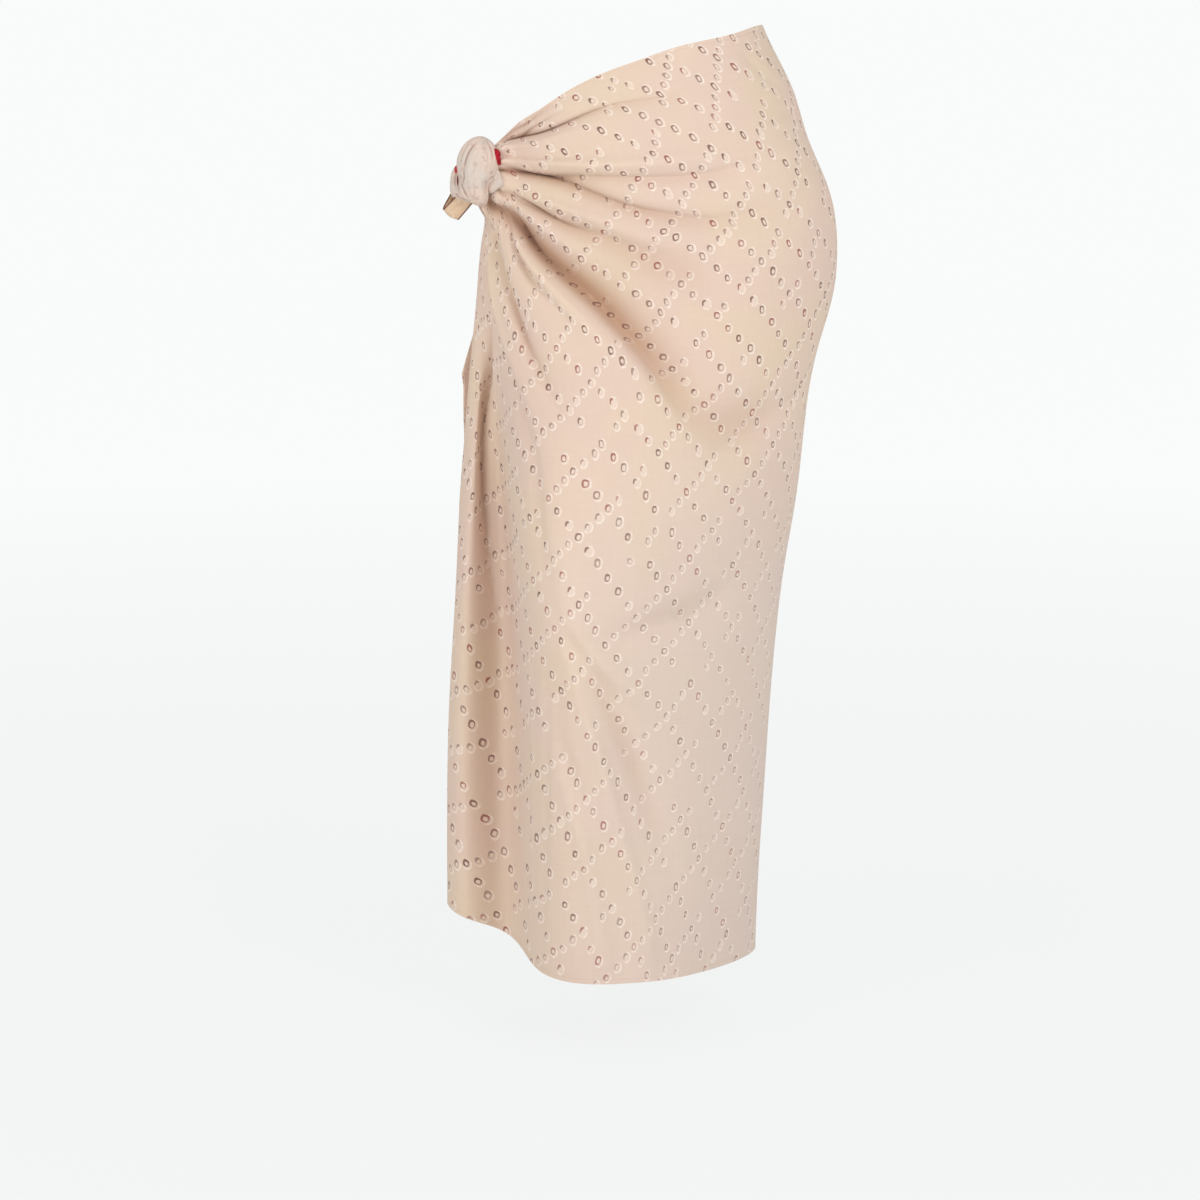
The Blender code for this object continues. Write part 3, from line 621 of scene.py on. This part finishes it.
# A crease's line of (x, z) from the lump's middle, its depth (a ridge's is negative) and its half width.
KNOT_CREASES = (
    (((1, 33), (-8, 22), (-13, 6), (-14, -4)), 1.5, 1.1),
    (((-3, 33), (-11, 23), (-16, 8)), -1.1, 1.5),
    (((-6, 33), (-14, 21), (-18, 9)), 1.1, 1.0),
    (((5, 33), (-2, 22), (-8, 8), (-10, -6)), -0.9, 2.2),
    (((8, 34), (2, 24), (-4, 10), (-6, 0)), 0.7, 1.0),
    (((-14, 6), (-14, -6), (-17, -15)), 1.3, 1.1),
    (((-17, -10), (-13, -19), (-8, -28)), 1.3, 1.0),
    (((-18, -14), (-13, -23), (-10, -28)), -0.9, 1.5),
    (((8, 34), (14, 24), (16, 8)), 0.9, 1.0),
    (((12, 33), (17, 23), (19, 8)), -0.8, 1.3),
    (((16, 28), (19, 18), (20, 8)), 0.8, 0.8),
    (((6, 33), (10, 20), (11, 2)), 0.6, 1.3),
    (((11, -7), (15, -4), (20, -3)), 1.1, 0.9),
    (((3, -4), (5, -18), (5, -31)), -0.8, 2.4),
    (((10, -2), (8, -16), (7, -30)), 1.0, 1.1),
    (((-2, -4), (-3, -20), (0, -32)), 0.7, 1.2),
    (((-9, -8), (-8, -20), (-4, -30)), 0.6, 1.0),
    (((-19, 8), (-6, -2), (10, -6), (19, -4)), -0.5, 4.5),
)
LOBE_OUTLINE = (
    (13, -4), (15, 8), (8, 18), (-4, 22), (-13, 17), (-17, 8), (-18, -2), (-17, -11), (-12, -17), (-4, -21),
    (6, -20), (12, -13),
)  # fmt: skip
LOBE_CREASES = (
    (((-8, 18), (-13, 6), (-11, -8)), 1.2, 1.3),
    (((-12, 15), (-16, 2), (-14, -10)), -0.8, 1.5),
    (((-4, 14), (-9, 0), (-6, -14)), 1.0, 1.4),
    (((-13, -10), (-6, -15), (4, -17)), 0.9, 1.3),
)
RED_OUTLINE = ((2.5, -6), (4, 0), (3.5, 5), (0, 8), (-4, 6), (-5, 0), (-3, -6), (0.5, -9.5))
RED_CREASES = ((((-1, 7), (1, 0), (1, -7)), 1.0, 0.9), (((-3, 5), (-2.5, -1), (-1, -7)), 0.7, 0.7))
RUFFLE_OUTLINE = ((8, -3), (5.5, 4), (1.5, 11), (-4, 12), (-7, 4), (-8, -6), (-6, -13), (-1, -11), (5, -7))
RUFFLE_CREASES = (
    (((0, 10), (2, 2), (-2, -9)), 0.7, 0.9),
    (((4, 5), (3, 0), (0, -6)), -0.5, 1.0),
    (((-4, 9), (-3, 0), (-5, -9)), 0.6, 1.0),
)
# Name, solid, shift from its middle, outline, half depth, lean to the right in degrees, creases, fineness.
KNOT_DOME = ("knot_dome", "knot_wrap", (0, 0, 0), KNOT_OUTLINE, 19, 0, KNOT_CREASES, 6)
KNOT_LOBE = ("knot_lobe", "knot_under", (0, 0, 0), LOBE_OUTLINE, 14.5, 0, LOBE_CREASES, 6)
RED_PLEAT = ("red_pleat", "red_fold", (1.5, 5, -1), RED_OUTLINE, 5, -18, RED_CREASES, 5)
RUFFLE = ("knot_ruffle", "knot_wrap", (18.5, -4, -7), RUFFLE_OUTLINE, 5, 0, RUFFLE_CREASES, 5)


def lump(name, solid, shift, outline, half_depth, lean, creases, fineness):
    """A ball of gathered cloth: a sphere drawn out to an outline in the front view, given creases and leant.
    How deep its creases are goes to the finish as painted shade.
    """
    bpy.ops.object.select_all(action="DESELECT")
    bpy.ops.mesh.primitive_ico_sphere_add(subdivisions=fineness, radius=1)
    made = bpy.context.object
    made.name = made.data.name = name
    ball = np.zeros(3 * len(made.data.vertices), np.float32)
    made.data.vertices.foreach_get("co", ball)
    ball = ball.reshape(-1, 3).astype(float)
    edge = metres(sorted(outline, key=lambda point: math.atan2(point[1], point[0])))
    turned = np.arctan2(edge[:, 1], edge[:, 0])
    reach = spline_weights(turned, np.arctan2(ball[:, 2], ball[:, 0]), 2 * math.pi) @ lengths_of(edge)
    points = ball * np.stack([reach, np.full(len(ball), half_depth * MM), reach], -1)
    front = ramp(ball[:, 1], 0.35, -0.15)
    crease_shadow = np.zeros(len(ball))
    outwards = ball / lengths_of(ball)[:, None]
    for line, deep, half_width in creases:
        drawn = np.insert(drawn_through(metres(line), 16), 1, 0, axis=1)
        nearest, share, _, _ = beside_line(points * (1, 0, 1), np.zeros(points.shape), drawn)
        strength = eased(share / 0.3 + 0.25) * ramp(share, 1, 0.6)
        pressed = deep * strength * np.exp(-((nearest / (half_width * MM)) ** 1.5)) * front
        points -= outwards * pressed[:, None] * MM
        # The crease depths are kept for the finish, which paints them as shade.
        crease_shadow += pressed
    low, high = np.array(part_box(solid))
    leant = points @ np.array(Matrix.Rotation(math.radians(-lean), 3, "Y"))
    points = leant + (low + high) / 2 + metres(shift)
    made.data.vertices.foreach_set("co", points.astype(np.float32).ravel())
    marked(made.data, "crease_shadow", crease_shadow)
    made.data.update()
    return finished(made, sharp=80)


TAIL_LENGTH, TAIL_WIDTH = 28 * MM, 17 * MM
TAIL_DEPTH = 8 * MM  # between the strip's front and back layers
TAIL_SHIFT = 8 * MM  # how far the back layer slips up and out, past the front one
TAIL_LEAN = math.radians(35)
TAIL_STEPS, TAIL_ACROSS = 90, 24
TAIL_START = np.array((-173, -54, -106)) * MM


def folded_tail(name):
    """A strip that leaves the knot downwards and outwards, turns back at its end and goes behind itself."""
    straight = TAIL_LENGTH - TAIL_DEPTH / 2
    half_turn = math.pi * TAIL_DEPTH / 2
    run = 2 * straight + half_turn
    along = np.linspace(0, run, TAIL_STEPS + 1)[:, None]
    aside = np.linspace(-0.5, 0.5, TAIL_ACROSS + 1)[None, :]
    turn = np.clip((along - straight) / (TAIL_DEPTH / 2), 0, math.pi)
    back = np.maximum(along - straight - half_turn, 0)
    out = np.minimum(along, straight) - back + TAIL_DEPTH / 2 * np.sin(turn) + 1.2 * MM * np.cos(5 * aside)
    depth = -TAIL_DEPTH / 2 * np.cos(turn) + 5 * MM * aside**2 + 0.5 * MM * np.sin(14 * aside + 90 * along)
    wide = aside * TAIL_WIDTH * (1 + 0.12 * np.sin(math.pi * along / run)) - TAIL_SHIFT * along / run
    cos, sin = math.cos(TAIL_LEAN), math.sin(TAIL_LEAN)
    points = np.stack(np.broadcast_arrays(wide * cos - out * sin, depth, -wide * sin - out * cos), -1)
    cut = np.stack(np.broadcast_arrays(aside * TAIL_WIDTH, along), -1)
    made = grid_sheet(name, points + TAIL_START, cut, (0, 1, 0))
    return finished(made, 0.8 * MM)


# ---- Finishes ----


def worked_out(operation, swapped=False):
    """The method that adds a Math node for one of Python's operators."""

    def method(self, *others):
        values = (*others, self) if swapped else (self, *others)
        return self.finish.math(operation, *values)

    return method


class Wire:
    """A value that varies over a surface. Arithmetic on it adds the Math nodes that work it out."""

    def __init__(self, finish, socket):
        self.finish, self.socket = finish, socket

    __add__ = __radd__ = worked_out("ADD")
    __mul__ = __rmul__ = worked_out("MULTIPLY")
    __sub__, __rsub__ = worked_out("SUBTRACT"), worked_out("SUBTRACT", swapped=True)
    __truediv__, __pow__ = worked_out("DIVIDE"), worked_out("POWER")
    __abs__, __round__ = worked_out("ABSOLUTE"), worked_out("ROUND")

    def ramped(self, low, high):
        """0 below low, 1 above high and eased between them; the other way round if low is above high."""
        ends = {"From_Min": min(low, high), "From_Max": max(low, high)}
        risen = self.finish.node("MapRange", {"interpolation_type": "SMOOTHSTEP"}, Value=self, **ends)[0]
        return risen if low < high else 1 - risen


class Finish:
    """A material, or the studio's air, with its shader and what varies over it."""

    def __init__(self, name, kept_with=bpy.data.materials, shader="Principled BSDF", **constants):
        self.made = kept_with.new(name)
        self.made.use_nodes = True
        self.nodes, self.links = self.made.node_tree.nodes, self.made.node_tree.links
        self.shader = self.nodes[shader]
        self.give(self.shader, constants)

    def give(self, node, sockets):
        """Gives sockets their values or links. Each is named, with _ for a space, or has _ and its number."""
        for name, value in sockets.items():
            socket = node.inputs[int(name[1:]) if name[1:].isdigit() else name.replace("_", " ")]
            if isinstance(value, Wire):
                self.links.new(value.socket, socket)
            elif isinstance(value, tuple) and len(value) == 3 and len(socket.default_value) == 4:
                socket.default_value = (*value, 1)
            else:
                socket.default_value = value

    def node(self, kind, settings=None, **sockets):
        """Adds a node, sets it up and then gives its sockets their values or links. Returns its outputs."""
        made = self.nodes.new(f"ShaderNode{kind}")
        for setting, value in (settings or {}).items():
            setattr(made, setting, value)
        self.give(made, sockets)
        return [Wire(self, output) for output in made.outputs]

    def math(self, operation, *values):
        sockets = {f"_{i}": value for i, value in enumerate(values)}
        return self.node("Math", {"operation": operation}, **sockets)[0]

    def layered(self, colour, *layers):
        """A colour under layers of others, each given as the share of it that shows and its colour."""
        for share, tint in layers:
            colour = self.node("MixRGB", {"blend_type": "MIX"}, Fac=share, Color1=colour, Color2=tint)[0]
        return colour

    def noise(self, at, scale, detail=1.0):
        return self.node("TexNoise", Vector=at, Scale=scale, Detail=detail)

    def streaks(self, x, y, z=0.0):
        return self.noise(self.combined(x, y, z), 1.0, 2.0)[0]

    def random(self, cell):
        """Three numbers from 0 to 1 that are the same all over a cell."""
        return self.node("SeparateColor", Color=self.node("TexWhiteNoise", Vector=cell)[1])

    def combined(self, x, y, z=0.0):
        return self.node("CombineXYZ", X=x, Y=y, Z=z)[0]

    def split(self, at):
        return self.node("SeparateXYZ", Vector=at)

    def moved(self, at, by):
        return self.node("VectorMath", {"operation": "ADD"}, _0=at, _1=by)[0]

    def mark(self, name):
        """A number that the mesh holds for each of its points."""
        return self.node("Attribute", {"attribute_name": name})[2]

    def close(self, colour, roughness, height, strength, distance):
        bump = self.node("Bump", Strength=strength, Distance=distance, Height=height)[0]
        self.give(self.shader, {"Base Color": colour, "Roughness": roughness, "Normal": bump})
        return self.made


def distance(x, y):
    return (x * x + y * y) ** 0.5


def linear(red, green, blue):
    """A colour given in 0 to 255, as the shaders take it."""
    shares = (value / 255 for value in (red, green, blue))
    return tuple(s / 12.92 if s <= 0.04045 else ((s + 0.055) / 1.055) ** 2.4 for s in shares)


SKIN_PEACH, SKIN_PINK, SKIN_SAND = linear(223, 201, 181), linear(221, 197, 181), linear(221, 201, 176)
LOW_FAR_SHADE = linear(214, 200, 191)  # painted shade: the ground is greyer low on the far side, where the cloth turns down and away, and the print there is paler
CREAM = linear(241, 229, 218)
INKS = linear(108, 70, 62), linear(142, 104, 94), linear(148, 84, 76)
# Painted shade in folds (also the threads' tint), painted highlight on ridges, and the painted shadow line in
# creases.
FOLD_SHADE_AND_THREAD_TINT, RIDGE_HIGHLIGHT, CREASE_SHADOW_COLOUR = linear(172, 130, 100), linear(238, 218, 192), linear(84, 46, 36)
MAROON, CRIMSON, CRIMSON_DEEP = linear(92, 36, 32), linear(176, 22, 40), linear(98, 10, 20)
# The second colour is painted shade on the tail's turned-back layer, inside its loop.
SAND, LOOP_SHADE = linear(206, 178, 148), linear(160, 132, 94)
# PALE is the knot's cloth; the second colour is painted shade in the knot's creases.
PALE, KNOT_CREASE_SHADE = linear(205, 192, 181), linear(150, 110, 98)

# The print: rows of tied rings that cross aslant. Lengths are in millimetres on the flat cloth.
STEEP_ROW = (math.sin(math.radians(44)), -math.cos(math.radians(44)))  # runs down to the right
CROSS_ROW = (-math.sin(math.radians(46)), -math.cos(math.radians(46)))  # runs down to the left
STEEP_REPEAT, CROSS_REPEAT = 50, 37  # along each row, from crossing to crossing
RINGS_TO_CROSSING = 3
STEEP_SLIP, CROSS_SLIP = (3.4, 2.2), (2.4, 2.0)  # how far chance moves a ring along the two rows
# The rows bend a little with the cloth. A crossing's number along each row is a sum of these times u, v,
# u * u, u * v and v * v, in tenths of a metre.
STEEP_COUNT = (1.2, -1.345, 0.029, 0.014, 0.009)
CROSS_COUNT = (-1.608, -2.368, -0.016, 0.034, -0.054)
RING_RADIUS, RING_STROKE = 2.75, 0.86
HALO_SHIFT = (1.3, -0.4)  # the pale ground round a ring reaches further to its right
STITCH_INSIDE = 4.8  # from the cut edge to the hem's stitching


def woven(finish, uv):
    """The height of the threads, the fine ones and the thicker ones along and across."""
    x, y, _ = finish.split(uv)
    slubs = finish.streaks(x * 260, y * 30) + finish.streaks(x * 30, y * 260)
    return (slubs + finish.noise(uv, 900.0)[0]) * 0.5


def ground(finish, uv):
    """The undyed cloth's slow changes of colour."""
    drift, other = finish.noise(uv, 7.0)[0], finish.noise(finish.moved(uv, (3.7, 1.9, 0.0)), 11.0)[0]
    return finish.layered(
        SKIN_PEACH, (drift.ramped(0.38, 0.62), SKIN_PINK), (other.ramped(0.45, 0.7) * 0.8, SKIN_SAND)
    )


def printed_cloth(name):
    """The wrap's cloth, with its print, its hem's stitching, its threads, painted shade in its folds and
    creases and painted light on its ridges.
    """
    finish = Finish(name, Sheen_Weight=0.15, Specular_IOR_Level=0.25)
    uv = finish.node("UVMap", {"uv_map": "cut"})[0]
    wander = finish.node("SeparateColor", Color=finish.noise(uv, 14.0)[1])
    u, v, _ = finish.split(uv)
    u, v = u * 10 + (wander[0] - 0.5) * 0.08, v * 10 + (wander[1] - 0.5) * 0.08
    powers = (u, v, u * u, u * v, v * v)
    along_steep, along_cross = (
        sum(power * share for power, share in zip(powers, count)) for count in (STEEP_COUNT, CROSS_COUNT)
    )
    (ax, ay), (bx, by) = STEEP_ROW, CROSS_ROW

    def nearest_ring(steep_parts, cross_parts, kind, slip):
        """The offset from one kind of row's nearest ring, that ring's cell and its number along the row."""
        steep, cross = round(along_steep * steep_parts), round(along_cross * cross_parts)
        cell = finish.combined(steep, cross, kind)
        shift = finish.random(cell)
        out_steep = (along_steep - steep / steep_parts) * STEEP_REPEAT + (shift[0] - 0.5) * slip[0]
        out_cross = (along_cross - cross / cross_parts) * CROSS_REPEAT + (shift[1] - 0.5) * slip[1]
        return out_steep * ax + out_cross * bx, out_steep * ay + out_cross * by, cell, cross

    sx, sy, steep_cell, _ = nearest_ring(RINGS_TO_CROSSING, 1, 0.25, STEEP_SLIP)
    cx, cy, cross_cell, number = nearest_ring(1, RINGS_TO_CROSSING, 7.25, CROSS_SLIP)
    at_crossing = finish.math("COMPARE", finish.math("FLOORED_MODULO", number, RINGS_TO_CROSSING), 0.0, 0.2)
    use_cross = finish.math("LESS_THAN", cx * cx + cy * cy + at_crossing * 1000, sx * sx + sy * sy)
    x, y = sx + (cx - sx) * use_cross, sy + (cy - sy) * use_cross
    cell = finish.node("Mix", {"data_type": "VECTOR"}, _0=use_cross, _4=steep_cell, _5=cross_cell)[1]
    one, two = finish.random(cell), finish.random(finish.moved(cell, (0.5, 0.5, 3.0)))

    # Each ring is drawn out, wavers, is heavier at its upper left and fades at its lower right. Those of the
    # cross rows are smaller and fainter, and some are only a dash.
    # The low far side, where the ground gets painted shade and the rings are paler and larger.
    low_far_side = u.ramped(1.2, 4.6) * v.ramped(-3.2, -6.2)
    wide = x * (1.05 + one[0] * 0.2) * (1 + low_far_side * 0.12)
    tall = y * (0.94 - one[0] * 0.14) * (1 + low_far_side * 0.28)
    waver = finish.noise(uv, 420.0, 0.0)[0] - 0.5
    square = (wide * wide * wide * wide + tall * tall * tall * tall) ** 0.25
    away = (square + distance(wide, tall)) * 0.5 + waver * 0.9
    radius = RING_RADIUS * (0.82 + one[1] * 0.3) * (1 - use_cross * 0.1)
    corner = (tall * 0.8 - wide * 1.1) / (away + 0.5)
    stroke = corner * 0.2 + waver * 0.7 + RING_STROKE * (0.75 + one[2] * 0.4) - use_cross * 0.06
    ring = (abs(away - radius) - stroke).ramped(0.45, -0.45)
    full = two[0].ramped(0.05, 0.5) * (1 - use_cross * 0.4)
    dash = corner.ramped(0.1, 0.9)
    drawn = finish.math("GREATER_THAN", two[1], use_cross * 0.14 + 0.03)
    inked = ring * (dash + (1 - dash) * full) * two[1].ramped(-0.8, 0.5) * (1 - use_cross * 0.2)
    inked = inked * drawn * (1 - corner.ramped(0.2, -1.2) * 0.25)
    beyond = distance((wide - HALO_SHIFT[0]) * 0.92, (tall - HALO_SHIFT[1]) * 0.92) - radius
    patchy = finish.noise(uv, 260.0, 0.0)[0].ramped(0.25, 0.6)
    halo = (beyond + waver * 1.2).ramped(2.5, 1.2) * (beyond.ramped(0.2, 1.3) * 0.75 * patchy + 0.3) * drawn
    ink = finish.layered(
        INKS[0], (two[2].ramped(0.1, 0.9), INKS[1]), (finish.math("GREATER_THAN", two[2], 0.75), INKS[2])
    )

    pressed = finish.mark("pressed")
    stitch = abs(finish.mark("hem") - STITCH_INSIDE).ramped(0.9, 0.4)
    threads = woven(finish, uv)
    colour = finish.layered(
        ground(finish, uv),
        # Painted shade, strongest low on the far side and a little all over.
        (low_far_side * 0.6 + 0.1, LOW_FAR_SHADE),
        (halo * 0.92, CREAM),
        # Painted light and shade: lighter on ridges, darker and warmer in folds.
        (pressed.ramped(-0.1, -0.7) * 0.45, RIDGE_HIGHLIGHT),
        (pressed.ramped(0.1, 1.5) * 0.8, FOLD_SHADE_AND_THREAD_TINT),
        (inked * (0.92 - low_far_side * 0.25), ink),
        # A painted shadow line where cloth laps onto cloth.
        (finish.mark("crease_shadow").ramped(0.05, 0.9) * 0.9, CREASE_SHADOW_COLOUR),
        (stitch * 0.08, INKS[1]),
        ((threads - 0.5) * 0.16 + 0.08, FOLD_SHADE_AND_THREAD_TINT),
    )
    height = threads * 0.35 + halo * 0.12 - ring * 0.15 - stitch * 0.25
    return finish.close(colour, 0.82 + threads * 0.1, height, 0.35, 0.0006)


# On the knot, in metres: a stain's middle, x and z, its half width and height, and its colour.
STAINS = (
    ((-0.1858, -0.08), (0.002, 0.005), CRIMSON),
    ((-0.184, -0.091), (0.0011, 0.007), CRIMSON_DEEP),
)


def knot_cloth(name):
    """The same cloth drawn tight."""
    finish = Finish(name, Sheen_Weight=0.15, Specular_IOR_Level=0.25)
    at = finish.node("TexCoord")[3]
    x, y, z = finish.split(at)
    streaks = finish.streaks(x * 300 - z * 110, y * 300, z * 70)
    marks, threads = finish.noise(at, 170.0, 2.0)[0], finish.noise(at, 1400.0)[0]
    colour = finish.layered(
        PALE,
        (finish.noise(at, 45.0)[0].ramped(0.4, 0.65) * 0.6, SKIN_PINK),
        (streaks.ramped(0.5, 0.75) * 0.2, FOLD_SHADE_AND_THREAD_TINT),
        (marks.ramped(0.55, 0.75) * 0.35, INKS[1]),
        # Painted shade in the knot's creases.
        (finish.mark("crease_shadow").ramped(0.1, 1.4) * 0.75, KNOT_CREASE_SHADE),
    )
    for (stain_x, stain_z), (wide, tall), stain in STAINS:
        out = distance((x - stain_x) * (1 / wide), (z - stain_z) * (1 / tall)) + (marks - 0.5) * 0.6
        colour = finish.layered(colour, (out.ramped(1.0, 0.6) * 0.95, stain))
    return finish.close(colour, 0.85 + threads * 0.08, streaks * 0.8 + threads * 0.2, 0.5, 0.0011)


def red_dye(name):
    finish = Finish(name, Sheen_Weight=0.1, Specular_IOR_Level=0.25)
    x, y, z = finish.split(finish.node("TexCoord")[3])
    streaks = finish.streaks(x * 500, y * 500, z * 110)
    colour = finish.layered(CRIMSON, (streaks.ramped(0.4, 0.7), CRIMSON_DEEP))
    return finish.close(colour, 0.8 + streaks * 0.1, streaks, 0.4, 0.0006)


def tail_cloth(name):
    """The tail, darker maroon at its side edges, with its reverse where the strip has turned back, painted
    darker olive as shade inside the loop.
    """
    finish = Finish(name, Sheen_Weight=0.1, Specular_IOR_Level=0.25)
    at = finish.node("TexCoord")[3]
    across, along, _ = finish.split(finish.node("UVMap", {"uv_map": "cut"})[0])
    streaks = finish.streaks(across * 500, along * 60)
    blotch = finish.noise(at, 160.0, 2.0)[0]
    # The turned-back layer is painted darker, as shade inside the loop.
    turned_back = TAIL_START[1] - 1.5 * MM
    loop_shade_mask = (finish.split(at)[1] + (blotch - 0.5) * 0.002).ramped(turned_back, turned_back + 1.5 * MM)
    edge = abs(across / (TAIL_WIDTH / 2)) + (streaks - 0.5) * 0.12
    colour = finish.layered(
        SAND,
        (blotch.ramped(0.4, 0.7) * 0.5, SKIN_PEACH),
        (loop_shade_mask, finish.layered(LOOP_SHADE, (blotch.ramped(0.3, 0.7), SAND))),
        (edge.ramped(0.78, 0.92) * 0.9, MAROON),
    )
    return finish.close(colour, 0.85 + blotch * 0.08, streaks, 0.35, 0.0006)


# ---- The studio ----

FLOOR_HEIGHT = -0.99
FLOOR_GLOW = 0.9  # the share of the floor's look that is plain white, so that no edge shows behind the cloth
FLOOR_BRIGHTENS = (0.6, 5, 0.965, 1.05)  # from the first distance to the second, between these strengths
WHITE = linear(249, 251, 250)
LAMPS = (  # name, kind, place, power, colour, size
    ("key", "AREA", (1.5, -2.9, 1.6), 37, (1, 1, 1), 1.0),
    ("fill", "AREA", (-2.2, -2.4, 0.3), 38, (1, 1, 1), 1.8),
    ("bounce", "AREA", (2.3, -1.6, -0.7), 17, (0.88, 0.95, 1), 1.2),
    ("light_through_the_cloth", "POINT", (-0.02, 0.01, -0.35), 0.4, (1, 1, 1), 0.05),
)
LIT = Vector((0, 0, -0.4))  # where the lamps point
CAMERA_PLACE = (-0.041, -3.4, 0.005)
CAMERA_DOWN = math.radians(8.9)
LENS, SENSOR = 99, 36


def shows_camera(finish, seen, lit, share, output):
    """The camera sees this share of one shader, and the light on the cloth comes from the other."""
    share = finish.node("LightPath")[0] * share
    mix = finish.node("MixShader", Fac=share, _1=lit, _2=seen)[0]
    finish.give(finish.nodes[output], {"Surface": mix})


def studio():
    """A pale floor, soft light from all round and from the upper right, and the camera."""
    bpy.ops.object.select_all(action="DESELECT")
    bpy.ops.mesh.primitive_circle_add(vertices=96, radius=14, fill_type="NGON", location=(0, 0, FLOOR_HEIGHT))
    floor = bpy.context.object
    floor.name = "studio_floor"
    paper = Finish("floor_paper", Base_Color=linear(240, 240, 240), Roughness=0.9)
    away = paper.node("VectorMath", {"operation": "LENGTH"}, _0=paper.node("TexCoord")[3])[1]
    near, far, least, most = FLOOR_BRIGHTENS
    glow = paper.node("MapRange", Value=away, From_Min=near, From_Max=far, To_Min=least, To_Max=most)[0]
    glow = paper.node("Emission", Color=WHITE, Strength=glow)[0]
    shows_camera(paper, glow, Wire(paper, paper.shader.outputs[0]), FLOOR_GLOW, "Material Output")
    floor.data.materials.append(paper.made)

    air = Finish("studio_air", bpy.data.worlds, "Background", Color=WHITE)
    lit = air.node("Background", Color=(1, 0.99, 0.98), Strength=0.6)[0]
    shows_camera(air, Wire(air, air.shader.outputs[0]), lit, 1, "World Output")
    bpy.context.scene.world = air.made

    for name, kind, place, power, colour, size in LAMPS:
        light = bpy.data.lights.new(name, kind)
        light.energy, light.color = power, colour
        setattr(light, "size" if kind == "AREA" else "shadow_soft_size", size)
        placed(name, light, place, (LIT - Vector(place)).to_track_quat("-Z", "Y").to_euler())
    camera = placed("camera", bpy.data.cameras.new("camera"), CAMERA_PLACE, (math.pi / 2 - CAMERA_DOWN, 0, 0))
    camera.data.lens, camera.data.sensor_width = LENS, SENSOR
    bpy.context.scene.camera = camera
    bpy.context.scene.view_settings.view_transform = "Standard"


# ---- The sarong ----


def takes_place(made, node, finish):
    """Gives a piece its finish and its body, and hides the solid of the frame that it stands for, if any."""
    made.data.materials.append(finish)
    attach(made, "root")
    if node:
        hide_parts(node)


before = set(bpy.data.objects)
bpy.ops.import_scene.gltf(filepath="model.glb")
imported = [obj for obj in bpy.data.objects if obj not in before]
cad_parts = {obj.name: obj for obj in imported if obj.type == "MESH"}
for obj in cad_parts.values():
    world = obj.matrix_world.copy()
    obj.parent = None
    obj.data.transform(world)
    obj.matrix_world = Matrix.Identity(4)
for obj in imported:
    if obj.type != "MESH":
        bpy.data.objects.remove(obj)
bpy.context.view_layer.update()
studio()

front, back = stretch_of_cloth(FRONT), stretch_of_cloth(BACK)
print_finish, knot_finish = printed_cloth("ringed_print"), knot_cloth("drawn_cloth")
takes_place(front, "wrap_front", print_finish)
takes_place(back, "wrap_back", print_finish)
takes_place(lump(*KNOT_DOME), "knot_wrap", knot_finish)
takes_place(lump(*KNOT_LOBE), "knot_under", knot_finish)
takes_place(lump(*RED_PLEAT), "red_fold", red_dye("red_dyed_cloth"))
takes_place(lump(*RUFFLE), None, knot_finish)
tail = folded_tail("knot_tail")
takes_place(tail, "tail_loop", tail_cloth("tail_cloth"))
